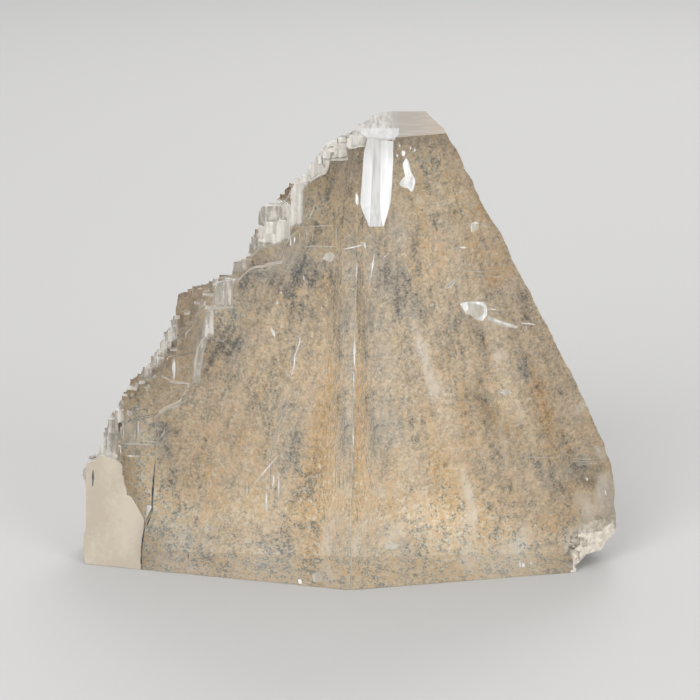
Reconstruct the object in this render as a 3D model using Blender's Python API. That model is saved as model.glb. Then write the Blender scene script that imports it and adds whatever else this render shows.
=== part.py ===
"""A cleaved block of clear calcite, standing on its flat base: +Z up, +X to the right, front facing -Y.

The front is one cleavage face folded slightly along an upright line. Down the left side it steps
back in treads and risers, the top is a sloping cleavage face, and the back is a few broad natural
faces that draw in behind the front. Sizes are in millimetres; outlines are (x, z) pairs.
"""

from math import radians, tan

import bmesh
import bpy
from mathutils import Vector

MM = 0.001

# Driving dimensions.
FOLD_Y = -20.2  # the foot of the fold, ahead of the block's middle
YAW_RIGHT = 12.9  # degrees the front falls back to the right of the fold
YAW_LEFT = 15.9  # and to the left of it
LEAN_RIGHT = 4.7  # degrees the front leans back, right of the fold
LEAN_LEFT = 5.3  # and left of it
CAP_POINT = (15, -8.2, 104.5)  # a point on the front edge of the top face
CAP_SLOPE = 10.0  # degrees the top face rises to the back
ABOVE = 118.0  # outlines run above the top face, which trims them
INSIDE = 14.0  # the smaller slabs end inside the block, about this far back
FAR_BACK = 60.0
HALF_SPAN = 90.0

# The clear front face.
FRONT = [
    (53.5, 0), (53.5, 1), (54, 2), (56, 4), (59.5, 4.5), (60.5, 7), (62.5, 9), (62.5, 17),
    (61.5, 24), (59, 31.5), (51, 48), (42.5, 64), (37, 74), (34.5, 81.5), (32.5, 83),
    (28.5, 92), (24, 100.5), (21.5, 104), (20, ABOVE), (11, ABOVE), (9.5, 103.5), (4, 104.5),
    (3.5, 102.5), (-0.5, 102), (-0.5, 99.5), (-4.5, 99), (-5.5, 96), (-9, 94), (-10, 90),
    (-10.5, 84), (-14, 80.5), (-15.5, 75), (-23, 73), (-26, 70), (-27, 64), (-33.5, 63),
    (-34.5, 57), (-36, 53.5), (-37.5, 45.5), (-39.5, 41), (-45, 37.5), (-46, 25.5),
    (-47, 14.5), (-48.5, 11), (-49.5, 5), (-49.5, 0),
]
# The tread behind it, a paler band down the left side.
SECOND = [
    (20, 0), (18, ABOVE), (4, ABOVE), (3.5, 106), (0, 104.5), (-4.5, 102), (-7.5, 98.5),
    (-10.5, 94.5), (-13.5, 92.5), (-15, 88), (-17, 82.5), (-20, 79.5), (-22.5, 75.5),
    (-26.5, 74), (-27.5, 71), (-31.5, 67.5), (-35, 63.5), (-38.5, 57.5), (-40.5, 53.5),
    (-44.5, 49.5), (-47, 44), (-50.5, 41), (-53.5, 38.5), (-54.5, 27.5), (-55, 24),
    (-53.5, 18), (-51, 12), (-48, 7), (-40, 0),
]
# The outer rim, the block's own edge on the left.
RIM = [
    (0, 0), (22, 80), (22, 103), (20, ABOVE), (6, ABOVE), (5.5, 107.1),
    (3.7, 106.1), (2.3, 105.4), (-0.7, 105), (-4.5, 103.2),
    (-7, 100.5), (-9.5, 96.5), (-12, 92.5), (-13.5, 92), (-14, 87), (-20, 86.5), (-21, 85.5),
    (-21.5, 81.5), (-23.5, 78), (-23.5, 75), (-26.5, 75), (-27, 71), (-29, 69), (-31, 69),
    (-34, 66.5), (-37, 66), (-39, 65), (-41, 59.5), (-45, 52), (-47, 47.5), (-49.5, 44),
    (-51, 43.5), (-52.5, 40.5), (-55.5, 36), (-57, 32.5), (-58.5, 27.5), (-60, 26.5),
    (-60, 24.5), (-62, 24), (-62.5, 21.5), (-64, 19), (-63.5, 11), (-64, 2.5), (-63, 0),
]
# Smaller blocks between the treads: how far each face lies behind the front, and its outline.
BLOCKS = [
    (1.5, [(-8, 78), (-8, 93), (-10.5, 93.5), (-13.5, 93), (-14, 80)]),
    (4.2, [(-12, 76), (-12, 87.5), (-20, 87), (-21, 86), (-21, 79), (-19, 76)]),
    (1.5, [(-24, 60), (-24, 70), (-27, 70.5), (-31, 69), (-31.5, 60)]),
    (-0.6, [(-31.5, 46), (-31.5, 63), (-33.5, 63.5), (-35, 57), (-36.5, 53), (-37, 46)]),
    (14.0, [(-4, 78), (-4, 91), (-13, 91), (-18, 85), (-18, 78)]),
]
# Shallow cleavage windows sunk into the treads: depth behind the front, and outline.
WINDOWS = [
    (4.4, [(-36.5, 52), (-42.5, 50.5), (-44.5, 46), (-41.5, 44.5), (-37.5, 44.5)]),
    (3.9, [(-44.5, 37), (-50.5, 35.5), (-50.5, 30), (-45.5, 30)]),
]
# The open crack that parts the left foot from the front face.
CRACK = [(-45.7, 26), (-46.5, 14.7), (-48.1, 11.5), (-49.1, 5.5), (-49.4, 1)]
CRACK_WIDTH = 0.5
CRACK_DEPTH = 7.0
# The left foot: a smooth facet that leans back more than the front does.
FOOT = [
    (-47, 0), (-49, 10), (-54.5, 24.5), (-59, 26.5), (-62, 23.5), (-63.5, 19),
    (-63.5, 3), (-63, 0),
]
FOOT_LEAN = 10.0
# The broken lower right corner: the wedge taken off it starts at this line on the front.
BREAK = [(57.5, 30), (51, -6)]
BREAK_REACH = 12.0
BREAK_DEPTH = 5.0
# Planes that trim the back: a point on each, and the way it faces.
BACK_PLANES = [
    ((0, 24, 0), (0, 1, 0.15)),
    ((21.9, -7.4, 104.6), (0.83, 0.12, 0.48)),
    ((63, -1, 25), (0.9, 0.42, 0.1)),
    ((0, 1, 107), (-0.66, 0.42, 0.58)),
    ((-40, 7, 64), (-0.76, 0.45, 0.36)),
    ((-64, 9, 18), (-0.8, 0.58, 0.12)),
    ((30, 20, 30), (0.48, 0.86, 0.16)),
    ((0, 12, 0), (0, 0.5, -0.86)),
]
# Treads broken out of the back, parallel to the front: thickness left, and outline.
BACK_TREADS = [
    (24.5, [(-70, -5), (-45, -5), (-41, 9), (-47, 15), (-43, 26), (-70, 40)]),
    (20.5, [(-44, 54), (-33, 48), (-28, 59), (-20, 56), (-14, 70), (-17, 74), (-11, 90), (-60, 90)]),
    (22.0, [(70, 70), (31, 70), (26, 58), (31, 49), (28, 39), (35, 30), (70, 24)]),
    (18.0, [(7, 130), (10, 97), (15, 99), (17, 88), (23, 86), (24, 79), (60, 79), (60, 130)]),
]


def clear_scene():
    for ob in list(bpy.data.objects):
        bpy.data.objects.remove(ob, do_unlink=True)


def face_y(x, z, behind=0.0, lean_more=0.0):
    """How far back the folded front lies at (x, z), or a face that much behind it."""
    right = tan(radians(YAW_RIGHT)) * x + tan(radians(LEAN_RIGHT + lean_more)) * z
    left = -tan(radians(YAW_LEFT)) * x + tan(radians(LEAN_LEFT + lean_more)) * z
    return FOLD_Y + behind + max(right, left)


def fold_x(z, lean_more=0.0):
    """Where the fold stands at height z."""
    lean = tan(radians(LEAN_LEFT + lean_more)) - tan(radians(LEAN_RIGHT + lean_more))
    return lean * z / (tan(radians(YAW_RIGHT)) + tan(radians(YAW_LEFT)))


def mesh_object(name, bm):
    bmesh.ops.recalc_face_normals(bm, faces=bm.faces)
    mesh = bpy.data.meshes.new(name)
    bm.to_mesh(mesh)
    bm.free()
    ob = bpy.data.objects.new(name, mesh)
    bpy.context.collection.objects.link(ob)
    return ob


def prism(name, outline, y_near, y_far):
    """An outline in (x, z) carried from y_near to y_far."""
    bm = bmesh.new()
    near = [bm.verts.new((x * MM, y_near * MM, z * MM)) for x, z in outline]
    far = [bm.verts.new((x * MM, y_far * MM, z * MM)) for x, z in outline]
    bm.faces.new(near)
    bm.faces.new(far)
    for i, v in enumerate(near):
        j = (i + 1) % len(near)
        bm.faces.new((v, near[j], far[j], far[i]))
    return mesh_object(name, bm)


def hull(name, points):
    bm = bmesh.new()
    for p in points:
        bm.verts.new(Vector(p) * MM)
    bmesh.ops.convex_hull(bm, input=bm.verts)
    bmesh.ops.dissolve_limit(
        bm, angle_limit=radians(0.1), verts=bm.verts, edges=bm.edges
    )
    return mesh_object(name, bm)


def folded_block(name, behind, lean_more=0.0):
    """Everything behind the folded front, or behind a face parallel to it."""
    points = []
    for z in (-10, ABOVE + 10):
        points += [(-HALF_SPAN, FAR_BACK + 20, z), (HALF_SPAN, FAR_BACK + 20, z)]
        for x in (-HALF_SPAN, fold_x(z, lean_more), HALF_SPAN):
            points.append((x, face_y(x, z, behind, lean_more), z))
    return hull(name, points)


def combine(target, other, operation):
    """Join, cut or keep the overlap of two solids, and drop the second."""
    m = target.modifiers.new(operation, "BOOLEAN")
    m.operation = operation
    m.solver = "EXACT"
    m.object = other
    depsgraph = bpy.context.evaluated_depsgraph_get()
    mesh = bpy.data.meshes.new_from_object(target.evaluated_get(depsgraph))
    target.modifiers.clear()
    old = target.data
    target.data = mesh
    bpy.data.meshes.remove(old)
    bpy.data.objects.remove(other, do_unlink=True)
    return target


def slab(name, outline, behind, far, lean_more=0.0):
    """A cleavage slab: an outline whose front face is parallel to the folded front."""
    ob = prism(name, outline, -60, far)
    return combine(ob, folded_block("fold", behind, lean_more), "INTERSECT")


def sink(target, outline, behind):
    """Cut an outline into the front, down to a face that much behind it."""
    cutter = prism("window", outline, -60, FAR_BACK - 10)
    combine(cutter, folded_block("floor", behind), "DIFFERENCE")
    return combine(target, cutter, "DIFFERENCE")


def break_back(target, outline, thickness):
    """Break a tread out of the back, down to a face parallel to the front."""
    cutter = prism("tread", outline, -70, FAR_BACK + 10)
    combine(cutter, folded_block("beyond", thickness), "INTERSECT")
    return combine(target, cutter, "DIFFERENCE")


def slice_off(target, point, facing):
    """Remove all that lies beyond a plane."""
    axis = Vector(facing).normalized()
    turn = axis.to_track_quat("Z", "Y")
    corners = [(x, y, z) for x in (-300, 300) for y in (-300, 300) for z in (0, 300)]
    points = [Vector(point) + turn @ Vector(c) for c in corners]
    return combine(target, hull("slice", points), "DIFFERENCE")


def natural_bounds():
    """The space the block keeps to: over its base, under its top face, inside its back faces."""
    corners = [(x, y, z) for x in (-100, 100) for y in (-50, 55) for z in (-20, 150)]
    space = hull("bounds", corners)
    slice_off(space, (0, 0, 0), (0, 0, -1))
    slice_off(space, CAP_POINT, (0, -tan(radians(CAP_SLOPE)), 1))
    for point, facing in BACK_PLANES:
        slice_off(space, point, facing)
    return space


def crack_outline():
    """The crack's own width laid either side of its line."""
    half = CRACK_WIDTH / 2
    return [(x + half, z) for x, z in CRACK] + [(x - half, z) for x, z in reversed(CRACK)]


def break_wedge():
    """The wedge missing from the lower right corner of the front."""
    points = []
    for x, z in BREAK:
        y = face_y(x, z)
        points += [
            (x, y, z),
            (x - 1, y - 6, z),
            (x + BREAK_REACH, y + BREAK_DEPTH, z),
            (x + BREAK_REACH, y - 8, z),
        ]
    return hull("corner", points)


def build_block():
    block = slab("calcite", FRONT, 0.0, FAR_BACK)
    combine(block, slab("rim", RIM, 6.5, FAR_BACK + 1), "UNION")
    combine(block, slab("second", SECOND, 3.0, INSIDE), "UNION")
    for i, (behind, outline) in enumerate(BLOCKS):
        combine(block, slab(f"block_{i}", outline, behind, INSIDE + 1 + i), "UNION")
    combine(block, slab("foot", FOOT, 0.0, INSIDE - 1, FOOT_LEAN), "UNION")
    for behind, outline in WINDOWS:
        sink(block, outline, behind)
    sink(block, crack_outline(), CRACK_DEPTH)
    combine(block, break_wedge(), "DIFFERENCE")
    combine(block, natural_bounds(), "INTERSECT")
    for thickness, outline in BACK_TREADS:
        break_back(block, outline, thickness)
    return block


def recentre(ob):
    """Stand the block on z = 0 with its box centred in x and y."""
    xs = [v.co.x for v in ob.data.vertices]
    ys = [v.co.y for v in ob.data.vertices]
    middle = Vector(((min(xs) + max(xs)) / 2, (min(ys) + max(ys)) / 2, 0))
    for v in ob.data.vertices:
        v.co -= middle
    print("moved by (mm)", [round(c / MM, 3) for c in middle])


def spar_material():
    mat = bpy.data.materials.new("clear_spar")
    mat.use_nodes = True
    shader = mat.node_tree.nodes["Principled BSDF"]
    shader.inputs["Base Color"].default_value = (0.62, 0.5, 0.36, 1)
    shader.inputs["Roughness"].default_value = 0.12
    return mat


def main():
    clear_scene()
    block = build_block()
    bm = bmesh.new()
    bm.from_mesh(block.data)
    bmesh.ops.remove_doubles(bm, verts=bm.verts, dist=0.00002)
    bmesh.ops.dissolve_limit(
        bm, angle_limit=radians(0.05), verts=bm.verts, edges=bm.edges
    )
    bmesh.ops.recalc_face_normals(bm, faces=bm.faces)
    bm.to_mesh(block.data)
    bm.free()
    recentre(block)
    block.data.materials.clear()
    block.data.materials.append(spar_material())


main()
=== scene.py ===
"""Optical calcite, its looks: clear spar over a clay-filmed back, with frosted steps and inner flaws.

Lengths are in millimetres in the tables and are scaled as meshes are made. Outlines are (x, z) points
as seen from the front.
"""

import random
from math import cos, exp, hypot, pi, radians, sin, tan

import bmesh
import bpy
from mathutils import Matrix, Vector, noise
from mathutils.bvhtree import BVHTree


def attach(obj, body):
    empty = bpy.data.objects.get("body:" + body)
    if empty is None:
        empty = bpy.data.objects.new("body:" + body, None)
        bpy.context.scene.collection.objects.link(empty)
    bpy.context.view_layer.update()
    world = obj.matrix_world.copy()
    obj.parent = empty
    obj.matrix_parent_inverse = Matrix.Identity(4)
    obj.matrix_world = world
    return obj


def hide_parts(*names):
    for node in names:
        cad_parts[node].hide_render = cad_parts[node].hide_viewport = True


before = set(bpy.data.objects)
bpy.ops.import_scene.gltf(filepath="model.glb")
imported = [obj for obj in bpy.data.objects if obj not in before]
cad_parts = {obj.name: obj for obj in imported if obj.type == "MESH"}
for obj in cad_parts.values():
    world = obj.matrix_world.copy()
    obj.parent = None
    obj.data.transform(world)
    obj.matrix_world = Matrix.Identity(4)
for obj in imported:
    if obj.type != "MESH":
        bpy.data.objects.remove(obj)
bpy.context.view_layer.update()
MM = 0.001

# ---------------------------------------------------------------- the block's own dimensions
FOLD = (0.75, -21.619)  # foot of the fold on the front, x and y
YAW_R, YAW_L = tan(radians(12.9)), tan(radians(15.9))  # how the two faces turn back from the fold
LEAN_R, LEAN_L = tan(radians(4.7)), tan(radians(5.3))  # how they lean back
FOOT_LEAN = tan(radians(5.3 + 10.0)) - LEAN_L  # the sloping facet leans back this much more
SHIFT = (0.75, -1.419)  # from the origin of the block's own outlines to the frame's, x and y
ABOVE, FAR = 118.0, 60.0  # clear above the cap, and clear behind the back
CAP_POINT, CAP_NORMAL = (15.75, -9.619, 104.5), (0, -tan(radians(10)), 1)
SECOND_BEHIND, RIM_BEHIND = 3.0, 6.5  # how far two of the steps lie behind the front
FOOT_REACH = (-44, 26)  # the sloping facet lies left of this x and below this z
CRACK_HALF, CRACK_DEEP = 0.15, 2.5  # half width and depth of the hairline crack
NOTCH_DEPTH, NOTCH_FOOT = 0.9, 84.2  # the fluted notch, and the height where it runs out

FRONT = [
    (53.5, 0), (53.5, 1), (54, 2), (56, 4), (59.5, 4.5), (60.9, 6.6), (63, 8.4), (63, 12), (62.9, 13.6),
    (66, 14.5), (66, 40), (48, 75), (30, 104), (28, ABOVE), (11, ABOVE), (9.5, 103.5), (4, 104.5),
    (3.5, 102.5), (-0.5, 102), (-0.5, 99.5), (-4.5, 99), (-5.5, 96), (-9, 94), (-10, 90), (-10.5, 84),
    (-14, 80.5), (-15.5, 75), (-23, 73), (-26, 70), (-27, 64), (-33.5, 63), (-34.5, 57), (-36, 53.5),
    (-37.5, 45.5), (-39.5, 41), (-45, 37.5), (-46, 25.5), (-47, 14.5), (-48.5, 11), (-49.5, 5),
    (-49.5, 0),
]
SECOND = [
    (20, 0), (18, ABOVE), (4, ABOVE), (3.5, 106), (0, 104.5), (-4.5, 102), (-7.5, 98.5),
    (-10.5, 94.5), (-13.5, 92.5), (-15, 88), (-17, 82.5), (-20, 79.5), (-22.5, 75.5), (-26.5, 74),
    (-27.5, 71), (-31.5, 67.5), (-35, 63.5), (-38.5, 57.5), (-40.5, 53.5), (-44.5, 49.5), (-47, 44),
    (-50.5, 41), (-53.5, 38.5), (-54.5, 27.5), (-54.3, 24), (-53, 18), (-51, 12), (-48, 7), (-40, 0),
]
# What is seen against the background: the left and upper edge, on the rim, and the right one.
RIM = [
    (13.7, 109.7), (7.2, 109), (4.5, 108), (2.8, 106.6), (0.9, 105), (-2.5, 103.5), (-5, 101.9),
    (-6.2, 100.5), (-7.5, 98.8), (-9.4, 96.2), (-11.4, 93.4), (-13.2, 92.2), (-15, 90.6), (-17, 88),
    (-20.2, 86.5), (-21, 85), (-21.2, 82), (-22.4, 79.3), (-23.3, 77.6), (-23.6, 75), (-26.9, 73.3),
    (-27.2, 70.6), (-31.2, 68.9), (-33.9, 67.4), (-38, 66), (-39.8, 64.9), (-40.9, 61.4), (-41.7, 58.5),
    (-43.2, 55.6), (-44.8, 52.6), (-46.4, 49.6), (-48.2, 46.8), (-49.6, 45.1), (-51.5, 43.7), (-52.3, 42),
    (-53.3, 40.5), (-55, 37.5), (-56.9, 34.4), (-57.9, 31.4), (-59, 28.4), (-60.2, 25), (-62.6, 24.2),
    (-63, 22.3), (-64, 20.7), (-64.3, 19.2), (-63.3, 17.8), (-63.3, 7.5), (-64.2, 4.5), (-64.2, 3),
    (-63.3, 0),
]
RIGHT = [
    (63, 13.2), (62.6, 15.3), (62.6, 18.2), (62.3, 21.1), (61.5, 25.5), (60.9, 27), (60.1, 28.5),
    (59.3, 31.4), (57.8, 34.4), (55.9, 38.8), (53.6, 43.2), (51.7, 47.6), (50, 50.5), (47.8, 54.9),
    (45.8, 59.2), (43.5, 63.3), (42, 66.5), (39.6, 70.8), (37.2, 75.1), (35.5, 79.3), (34.1, 82.2),
    (31.3, 86.4), (29.6, 89.3), (28, 93.5), (26.1, 96.3), (24.5, 100.4), (22.6, 103.2), (21.3, 106),
    (19.9, 107.4), (18.5, 108.8), (17.3, 110.2),
]
# All of the rim's own slab, before the skyline trims it.
RIM_SIDE = [(0, 0), (22, 80), (20, ABOVE), (-70, ABOVE), (-70, 0)]
# Larger cleavage blocks and sunk windows in the steps: depth behind the front, outline.
BLOCKS = [
    (1.5, [(-8, 78), (-8, 93), (-10.5, 93.5), (-13.5, 93), (-14, 80)]),
    (4.2, [(-12, 76), (-12, 87.5), (-20, 87), (-21, 86), (-21, 79), (-19, 76)]),
    (1.5, [(-24, 60), (-24, 70), (-27, 70.5), (-31, 69), (-31.5, 60)]),
    (-0.6, [(-31.5, 46), (-31.5, 63), (-33.5, 63.5), (-35, 57), (-36.5, 53), (-37, 46)]),
    (14.0, [(-4, 78), (-4, 91), (-13, 91), (-18, 85), (-18, 78)]),
]
WINDOWS = [
    (4.4, [(-36.5, 52), (-42.5, 50.5), (-44.5, 46), (-41.5, 44.5), (-37.5, 44.5)]),
    (3.9, [(-44.5, 37), (-50.5, 35.5), (-50.5, 30), (-45.5, 30)]),
]
CRACK = [(-45.7, 26), (-46.5, 14.7), (-48.1, 11.5), (-49.1, 5.5), (-49.4, 1)]
FOOT = [
    (-49.6, 0), (-49.3, 5), (-48.8, 11.4), (-50.8, 14.8), (-52.9, 17.7), (-54.1, 23.6), (-55.6, 24.6),
    (-59.6, 25.2), (-60.6, 24), (-62.6, 23.2), (-63.2, 19), (-63, 17), (-63, 8), (-63.7, 4.5), (-63.7, 3),
    (-63, 0),
]
# The broken corner: where the wedge comes off, and the path that the small bites follow.
BREAK = [(57.5, 30), (51, -6)]
BITES = [(52, 1), (53, 6), (58, 8), (61, 12)]
# The back: thickness left under each tread, and the planes that cut the rest.
BACK_TREADS = [
    (24.5, [(-70, -5), (-45, -5), (-41, 9), (-47, 15), (-43, 26), (-70, 40)]),
    (20.5, [(-44, 54), (-33, 48), (-28, 59), (-20, 56), (-14, 70), (-17, 74), (-11, 90), (-60, 90)]),
    (22.0, [(70, 70), (31, 70), (26, 58), (31, 49), (28, 39), (35, 30), (70, 24)]),
    (18.0, [(7, 130), (10, 97), (15, 99), (17, 88), (23, 86), (24, 79), (60, 79), (60, 130)]),
]
BACK_PLANES = [
    ((0, 24, 0), (0, 1, 0.15)),
    ((24, -7.4, 105.8), (0.83, 0.12, 0.48)),
    ((63, -1, 25), (0.9, 0.42, 0.1)),
    ((-2, 3.5, 108.3), (-0.66, 0.42, 0.58)),
    ((-42, 8.7, 66.2), (-0.76, 0.45, 0.36)),
    ((-64, 9, 18), (-0.8, 0.58, 0.12)),
    ((30, 20, 30), (0.48, 0.86, 0.16)),
    ((0, 12, 0), (0, 0.5, -0.86)),
]
# The fluted notch at the top of the front: height, then x at its left side, floor and right side.
NOTCH = [
    (108, 4.6, 5.6, 7.7, 11), (104.4, 4.6, 5.65, 7.65, 10.75), (103.5, 4.4, 5.7, 7.65, 10.55),
    (101.7, 4, 5.75, 7.65, 10.5), (99.9, 3.75, 5.8, 7.65, 10.5), (97.2, 3.6, 5.75, 7.65, 10.4),
    (94.4, 3.4, 5.65, 7.6, 10.3), (91.7, 3.2, 5.6, 7.6, 10.1), (89.7, 3.1, 5.5, 7.55, 9.9),
    (88.1, 3.55, 5.4, 7.6, 9.55), (86.5, 4.2, 5.3, 7.8, 9.05), (85.2, 4.8, 5.2, 8, 8.65),
    (84.4, 5.05, 5.15, 8.2, 8.4),
]
# Where small cleavage blocks crowd: path, how many, widths, heights, depths behind the front.
CROWDS = [
    ([(3, 104.5), (-4, 102), (-8, 98), (-11, 93)], 34, (0.7, 2.0), (0.7, 2.4), (1.8, 6.3)),
    ([(-9, 95), (-11, 90), (-12.5, 84)], 6, (0.8, 1.6), (1.5, 4.0), (1.5, 4.5)),
    ([(-20, 84), (-14, 83), (-22, 78)], 10, (0.8, 2.2), (1.5, 5.0), (3.4, 5.8)),
    ([(-24, 74), (-30, 68), (-36, 64)], 12, (0.9, 2.6), (1.2, 3.8), (1.8, 6.0)),
    ([(-38, 60), (-42, 54), (-45, 48)], 12, (0.9, 2.4), (1.5, 4.5), (2.2, 6.0)),
    ([(-47, 45), (-52, 40), (-56, 33), (-58, 27)], 14, (0.8, 2.4), (1.2, 4.0), (2.4, 6.2)),
]


def face_y(x, z, behind=0.0, more=0.0):
    """How far back the folded front lies at (x, z), in the finished frame."""
    x -= FOLD[0]
    return FOLD[1] + behind + max(YAW_R * x + (LEAN_R + more) * z, -YAW_L * x + (LEAN_L + more) * z)


def moved(outline):
    return [(x + SHIFT[0], z) for x, z in outline]


# ---------------------------------------------------------------- solids
def mesh_object(name, bm):
    bmesh.ops.recalc_face_normals(bm, faces=bm.faces)
    mesh = bpy.data.meshes.new(name)
    bm.to_mesh(mesh)
    bm.free()
    ob = bpy.data.objects.new(name, mesh)
    bpy.context.collection.objects.link(ob)
    return ob


def ring_of(bm, points):
    return [bm.verts.new(Vector(p) * MM) for p in points]


def join_rings(bm, near, far):
    """Closes the space between two rings of vertices."""
    bm.faces.new(near)
    bm.faces.new(far[::-1])
    for i in range(len(near)):
        bm.faces.new((near[i - 1], near[i], far[i], far[i - 1]))


def prism(name, outline, near, far):
    """An (x, z) outline carried back from near to far."""
    bm = bmesh.new()
    a, b = ([bm.verts.new((x * MM, y * MM, z * MM)) for x, z in outline] for y in (near, far))
    bm.faces.new(a)
    bm.faces.new(b)
    for i in range(len(a)):
        j = (i + 1) % len(a)
        bm.faces.new((a[i], a[j], b[j], b[i]))
    return mesh_object(name, bm)


def hull(name, points):
    bm = bmesh.new()
    ring_of(bm, points)
    bmesh.ops.convex_hull(bm, input=bm.verts)
    bmesh.ops.dissolve_limit(bm, angle_limit=radians(0.1), verts=bm.verts, edges=bm.edges)
    return mesh_object(name, bm)


def combine(target, other, operation):
    m = target.modifiers.new("b", "BOOLEAN")
    m.operation, m.solver, m.object = operation, "EXACT", other
    deps = bpy.context.evaluated_depsgraph_get()
    mesh = bpy.data.meshes.new_from_object(target.evaluated_get(deps))
    target.modifiers.clear()
    old, target.data = target.data, mesh
    bpy.data.meshes.remove(old)
    bpy.data.objects.remove(other, do_unlink=True)
    return target


def folded(behind, more=0.0):
    """All that lies behind the folded front, or behind a face parallel to it."""
    points = []
    for z in (-10, ABOVE + 10):
        fold = FOLD[0] + (LEAN_L - LEAN_R) * z / (YAW_R + YAW_L)
        points += [(x, FAR + 20, z) for x in (-90, 90)]
        points += [(x, face_y(x, z, behind, more), z) for x in (-90, fold, 90)]
    return hull("fold", points)


def slab(name, outline, behind, far, more=0.0):
    return combine(prism(name, outline, -60, far), folded(behind, more), "INTERSECT")


def sink(target, outline, behind):
    cutter = combine(prism("cut", outline, -60, FAR - 10), folded(behind), "DIFFERENCE")
    return combine(target, cutter, "DIFFERENCE")


def slice_off(target, point, facing):
    turn = Vector(facing).normalized().to_track_quat("Z", "Y")
    corners = [(x, y, z) for x in (-300, 300) for y in (-300, 300) for z in (0, 300)]
    cut = hull("slice", [Vector(point) + turn @ Vector(c) for c in corners])
    return combine(target, cut, "DIFFERENCE")


# ---------------------------------------------------------------- rough natural edges
def ragged(outline, rng, step, amount, stairs):
    """Breaks an outline's sides into small cleavage stairs or small chips."""
    out = []
    for i, a in enumerate(outline):
        b = outline[(i + 1) % len(outline)]
        out.append(a)
        low, high = sorted((a[1], b[1]))
        hidden = low <= 0.01 or high >= ABOVE - 5
        at_foot = max(a[0], b[0]) < FOOT_REACH[0] and high < FOOT_REACH[1]
        dx, dz = b[0] - a[0], b[1] - a[1]
        length = hypot(dx, dz)
        if hidden or (at_foot and not stairs) or length < step * 1.3:
            continue
        n = max(2, round(length / step))
        cuts = sorted(min(0.96, max(0.04, (k + rng.uniform(-0.35, 0.35)) / n)) for k in range(1, n))
        last = a
        for t in cuts:
            r = rng.uniform(-1, 1) * amount
            p = (a[0] + dx * t + dz / length * r, a[1] + dz * t - dx / length * r)
            onward = (p[0] - last[0]) * dx > 0.15 and (p[1] - last[1]) * dz > 0.15
            if stairs and onward:
                out.append((p[0], last[1]) if rng.random() < 0.5 else (last[0], p[1]))
            out.append(p)
            last = p
    return out


def along(path, t):
    """The point a share t of the way along a path."""
    sizes = [hypot(b[0] - a[0], b[1] - a[1]) for a, b in zip(path, path[1:])]
    left = t * sum(sizes)
    for (a, b), s in zip(zip(path, path[1:]), sizes):
        if left <= s or (a, b) == (path[-2], path[-1]):
            k = left / s
            return a[0] + (b[0] - a[0]) * k, a[1] + (b[1] - a[1]) * k
        left -= s


def rhomb(x, z, w, h, slant, lean):
    """A small cleavage outline: its level sides rise a little to the right."""
    return [
        (x + i * w / 2 - j * lean * h / 2, z + j * h / 2 + i * slant * w / 2)
        for i, j in ((-1, -1), (1, -1), (1, 1), (-1, 1))
    ]


def small_blocks(block, rng):
    i = 0
    for path, count, ws, hs, depths in CROWDS:
        for _ in range(count):
            x, z = along(path, rng.random())
            w, h = rng.uniform(*ws), rng.uniform(*hs)
            x += rng.uniform(-0.6, 0.6) + SHIFT[0]
            z += rng.uniform(-0.9, 0.9)
            outline = rhomb(x, z, w, h, rng.uniform(-0.15, 0.3), rng.uniform(-0.15, 0.25))
            i += 1
            combine(block, slab("b", outline, rng.uniform(*depths), 11 + 0.037 * i), "UNION")


def broken_corner(block, rng):
    """The hackly break at the lower right: a wedge off, then small bites."""
    points = []
    for x, z in moved(BREAK):
        y = face_y(x, z)
        points += [(x, y, z), (x - 1, y - 6, z), (x + 12, y + 5, z), (x + 12, y - 8, z)]
    combine(block, hull("corner", points), "DIFFERENCE")
    for _ in range(22):
        x, z = along(BITES, rng.random())
        x += SHIFT[0] + rng.uniform(-1.6, 2)
        z += rng.uniform(-1.5, 2)
        w, h = rng.uniform(0.8, 2.4), rng.uniform(0.7, 2)
        outline = rhomb(x, z, w, h, rng.uniform(-0.6, 0.6), rng.uniform(-0.4, 0.4))
        sink(block, outline, rng.uniform(0.3, 1.5))


def notch():
    """A shallow trough with sloping sides and a level floor."""
    bm = bmesh.new()
    last = None
    for z, a, b, c, d in NOTCH:
        deep = NOTCH_DEPTH * min(1, (z - NOTCH_FOOT) / 3)
        line = [(a, -2), (d, -2), (d, 0.0), (c, deep), (b, deep), (a, 0.0)]
        ring = ring_of(bm, [(x, face_y(x, z) + more, z) for x, more in line])
        if last:
            for k in range(6):
                bm.faces.new((last[k - 1], last[k], ring[k], ring[k - 1]))
        else:
            bm.faces.new(ring)
        last = ring
    bm.faces.new(last[::-1])
    return mesh_object("notch", bm)


def bounds_space():
    """What the base, the cap and the rough back leave."""
    space = hull("bounds", [(x, y, z) for x in (-100, 100) for y in (-55, 50) for z in (-20, 150)])
    slice_off(space, (0, 0, 0), (0, 0, -1))
    slice_off(space, CAP_POINT, CAP_NORMAL)
    for (x, y, z), facing in BACK_PLANES:
        slice_off(space, (x + SHIFT[0], y + SHIFT[1], z), facing)
    return space


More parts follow.
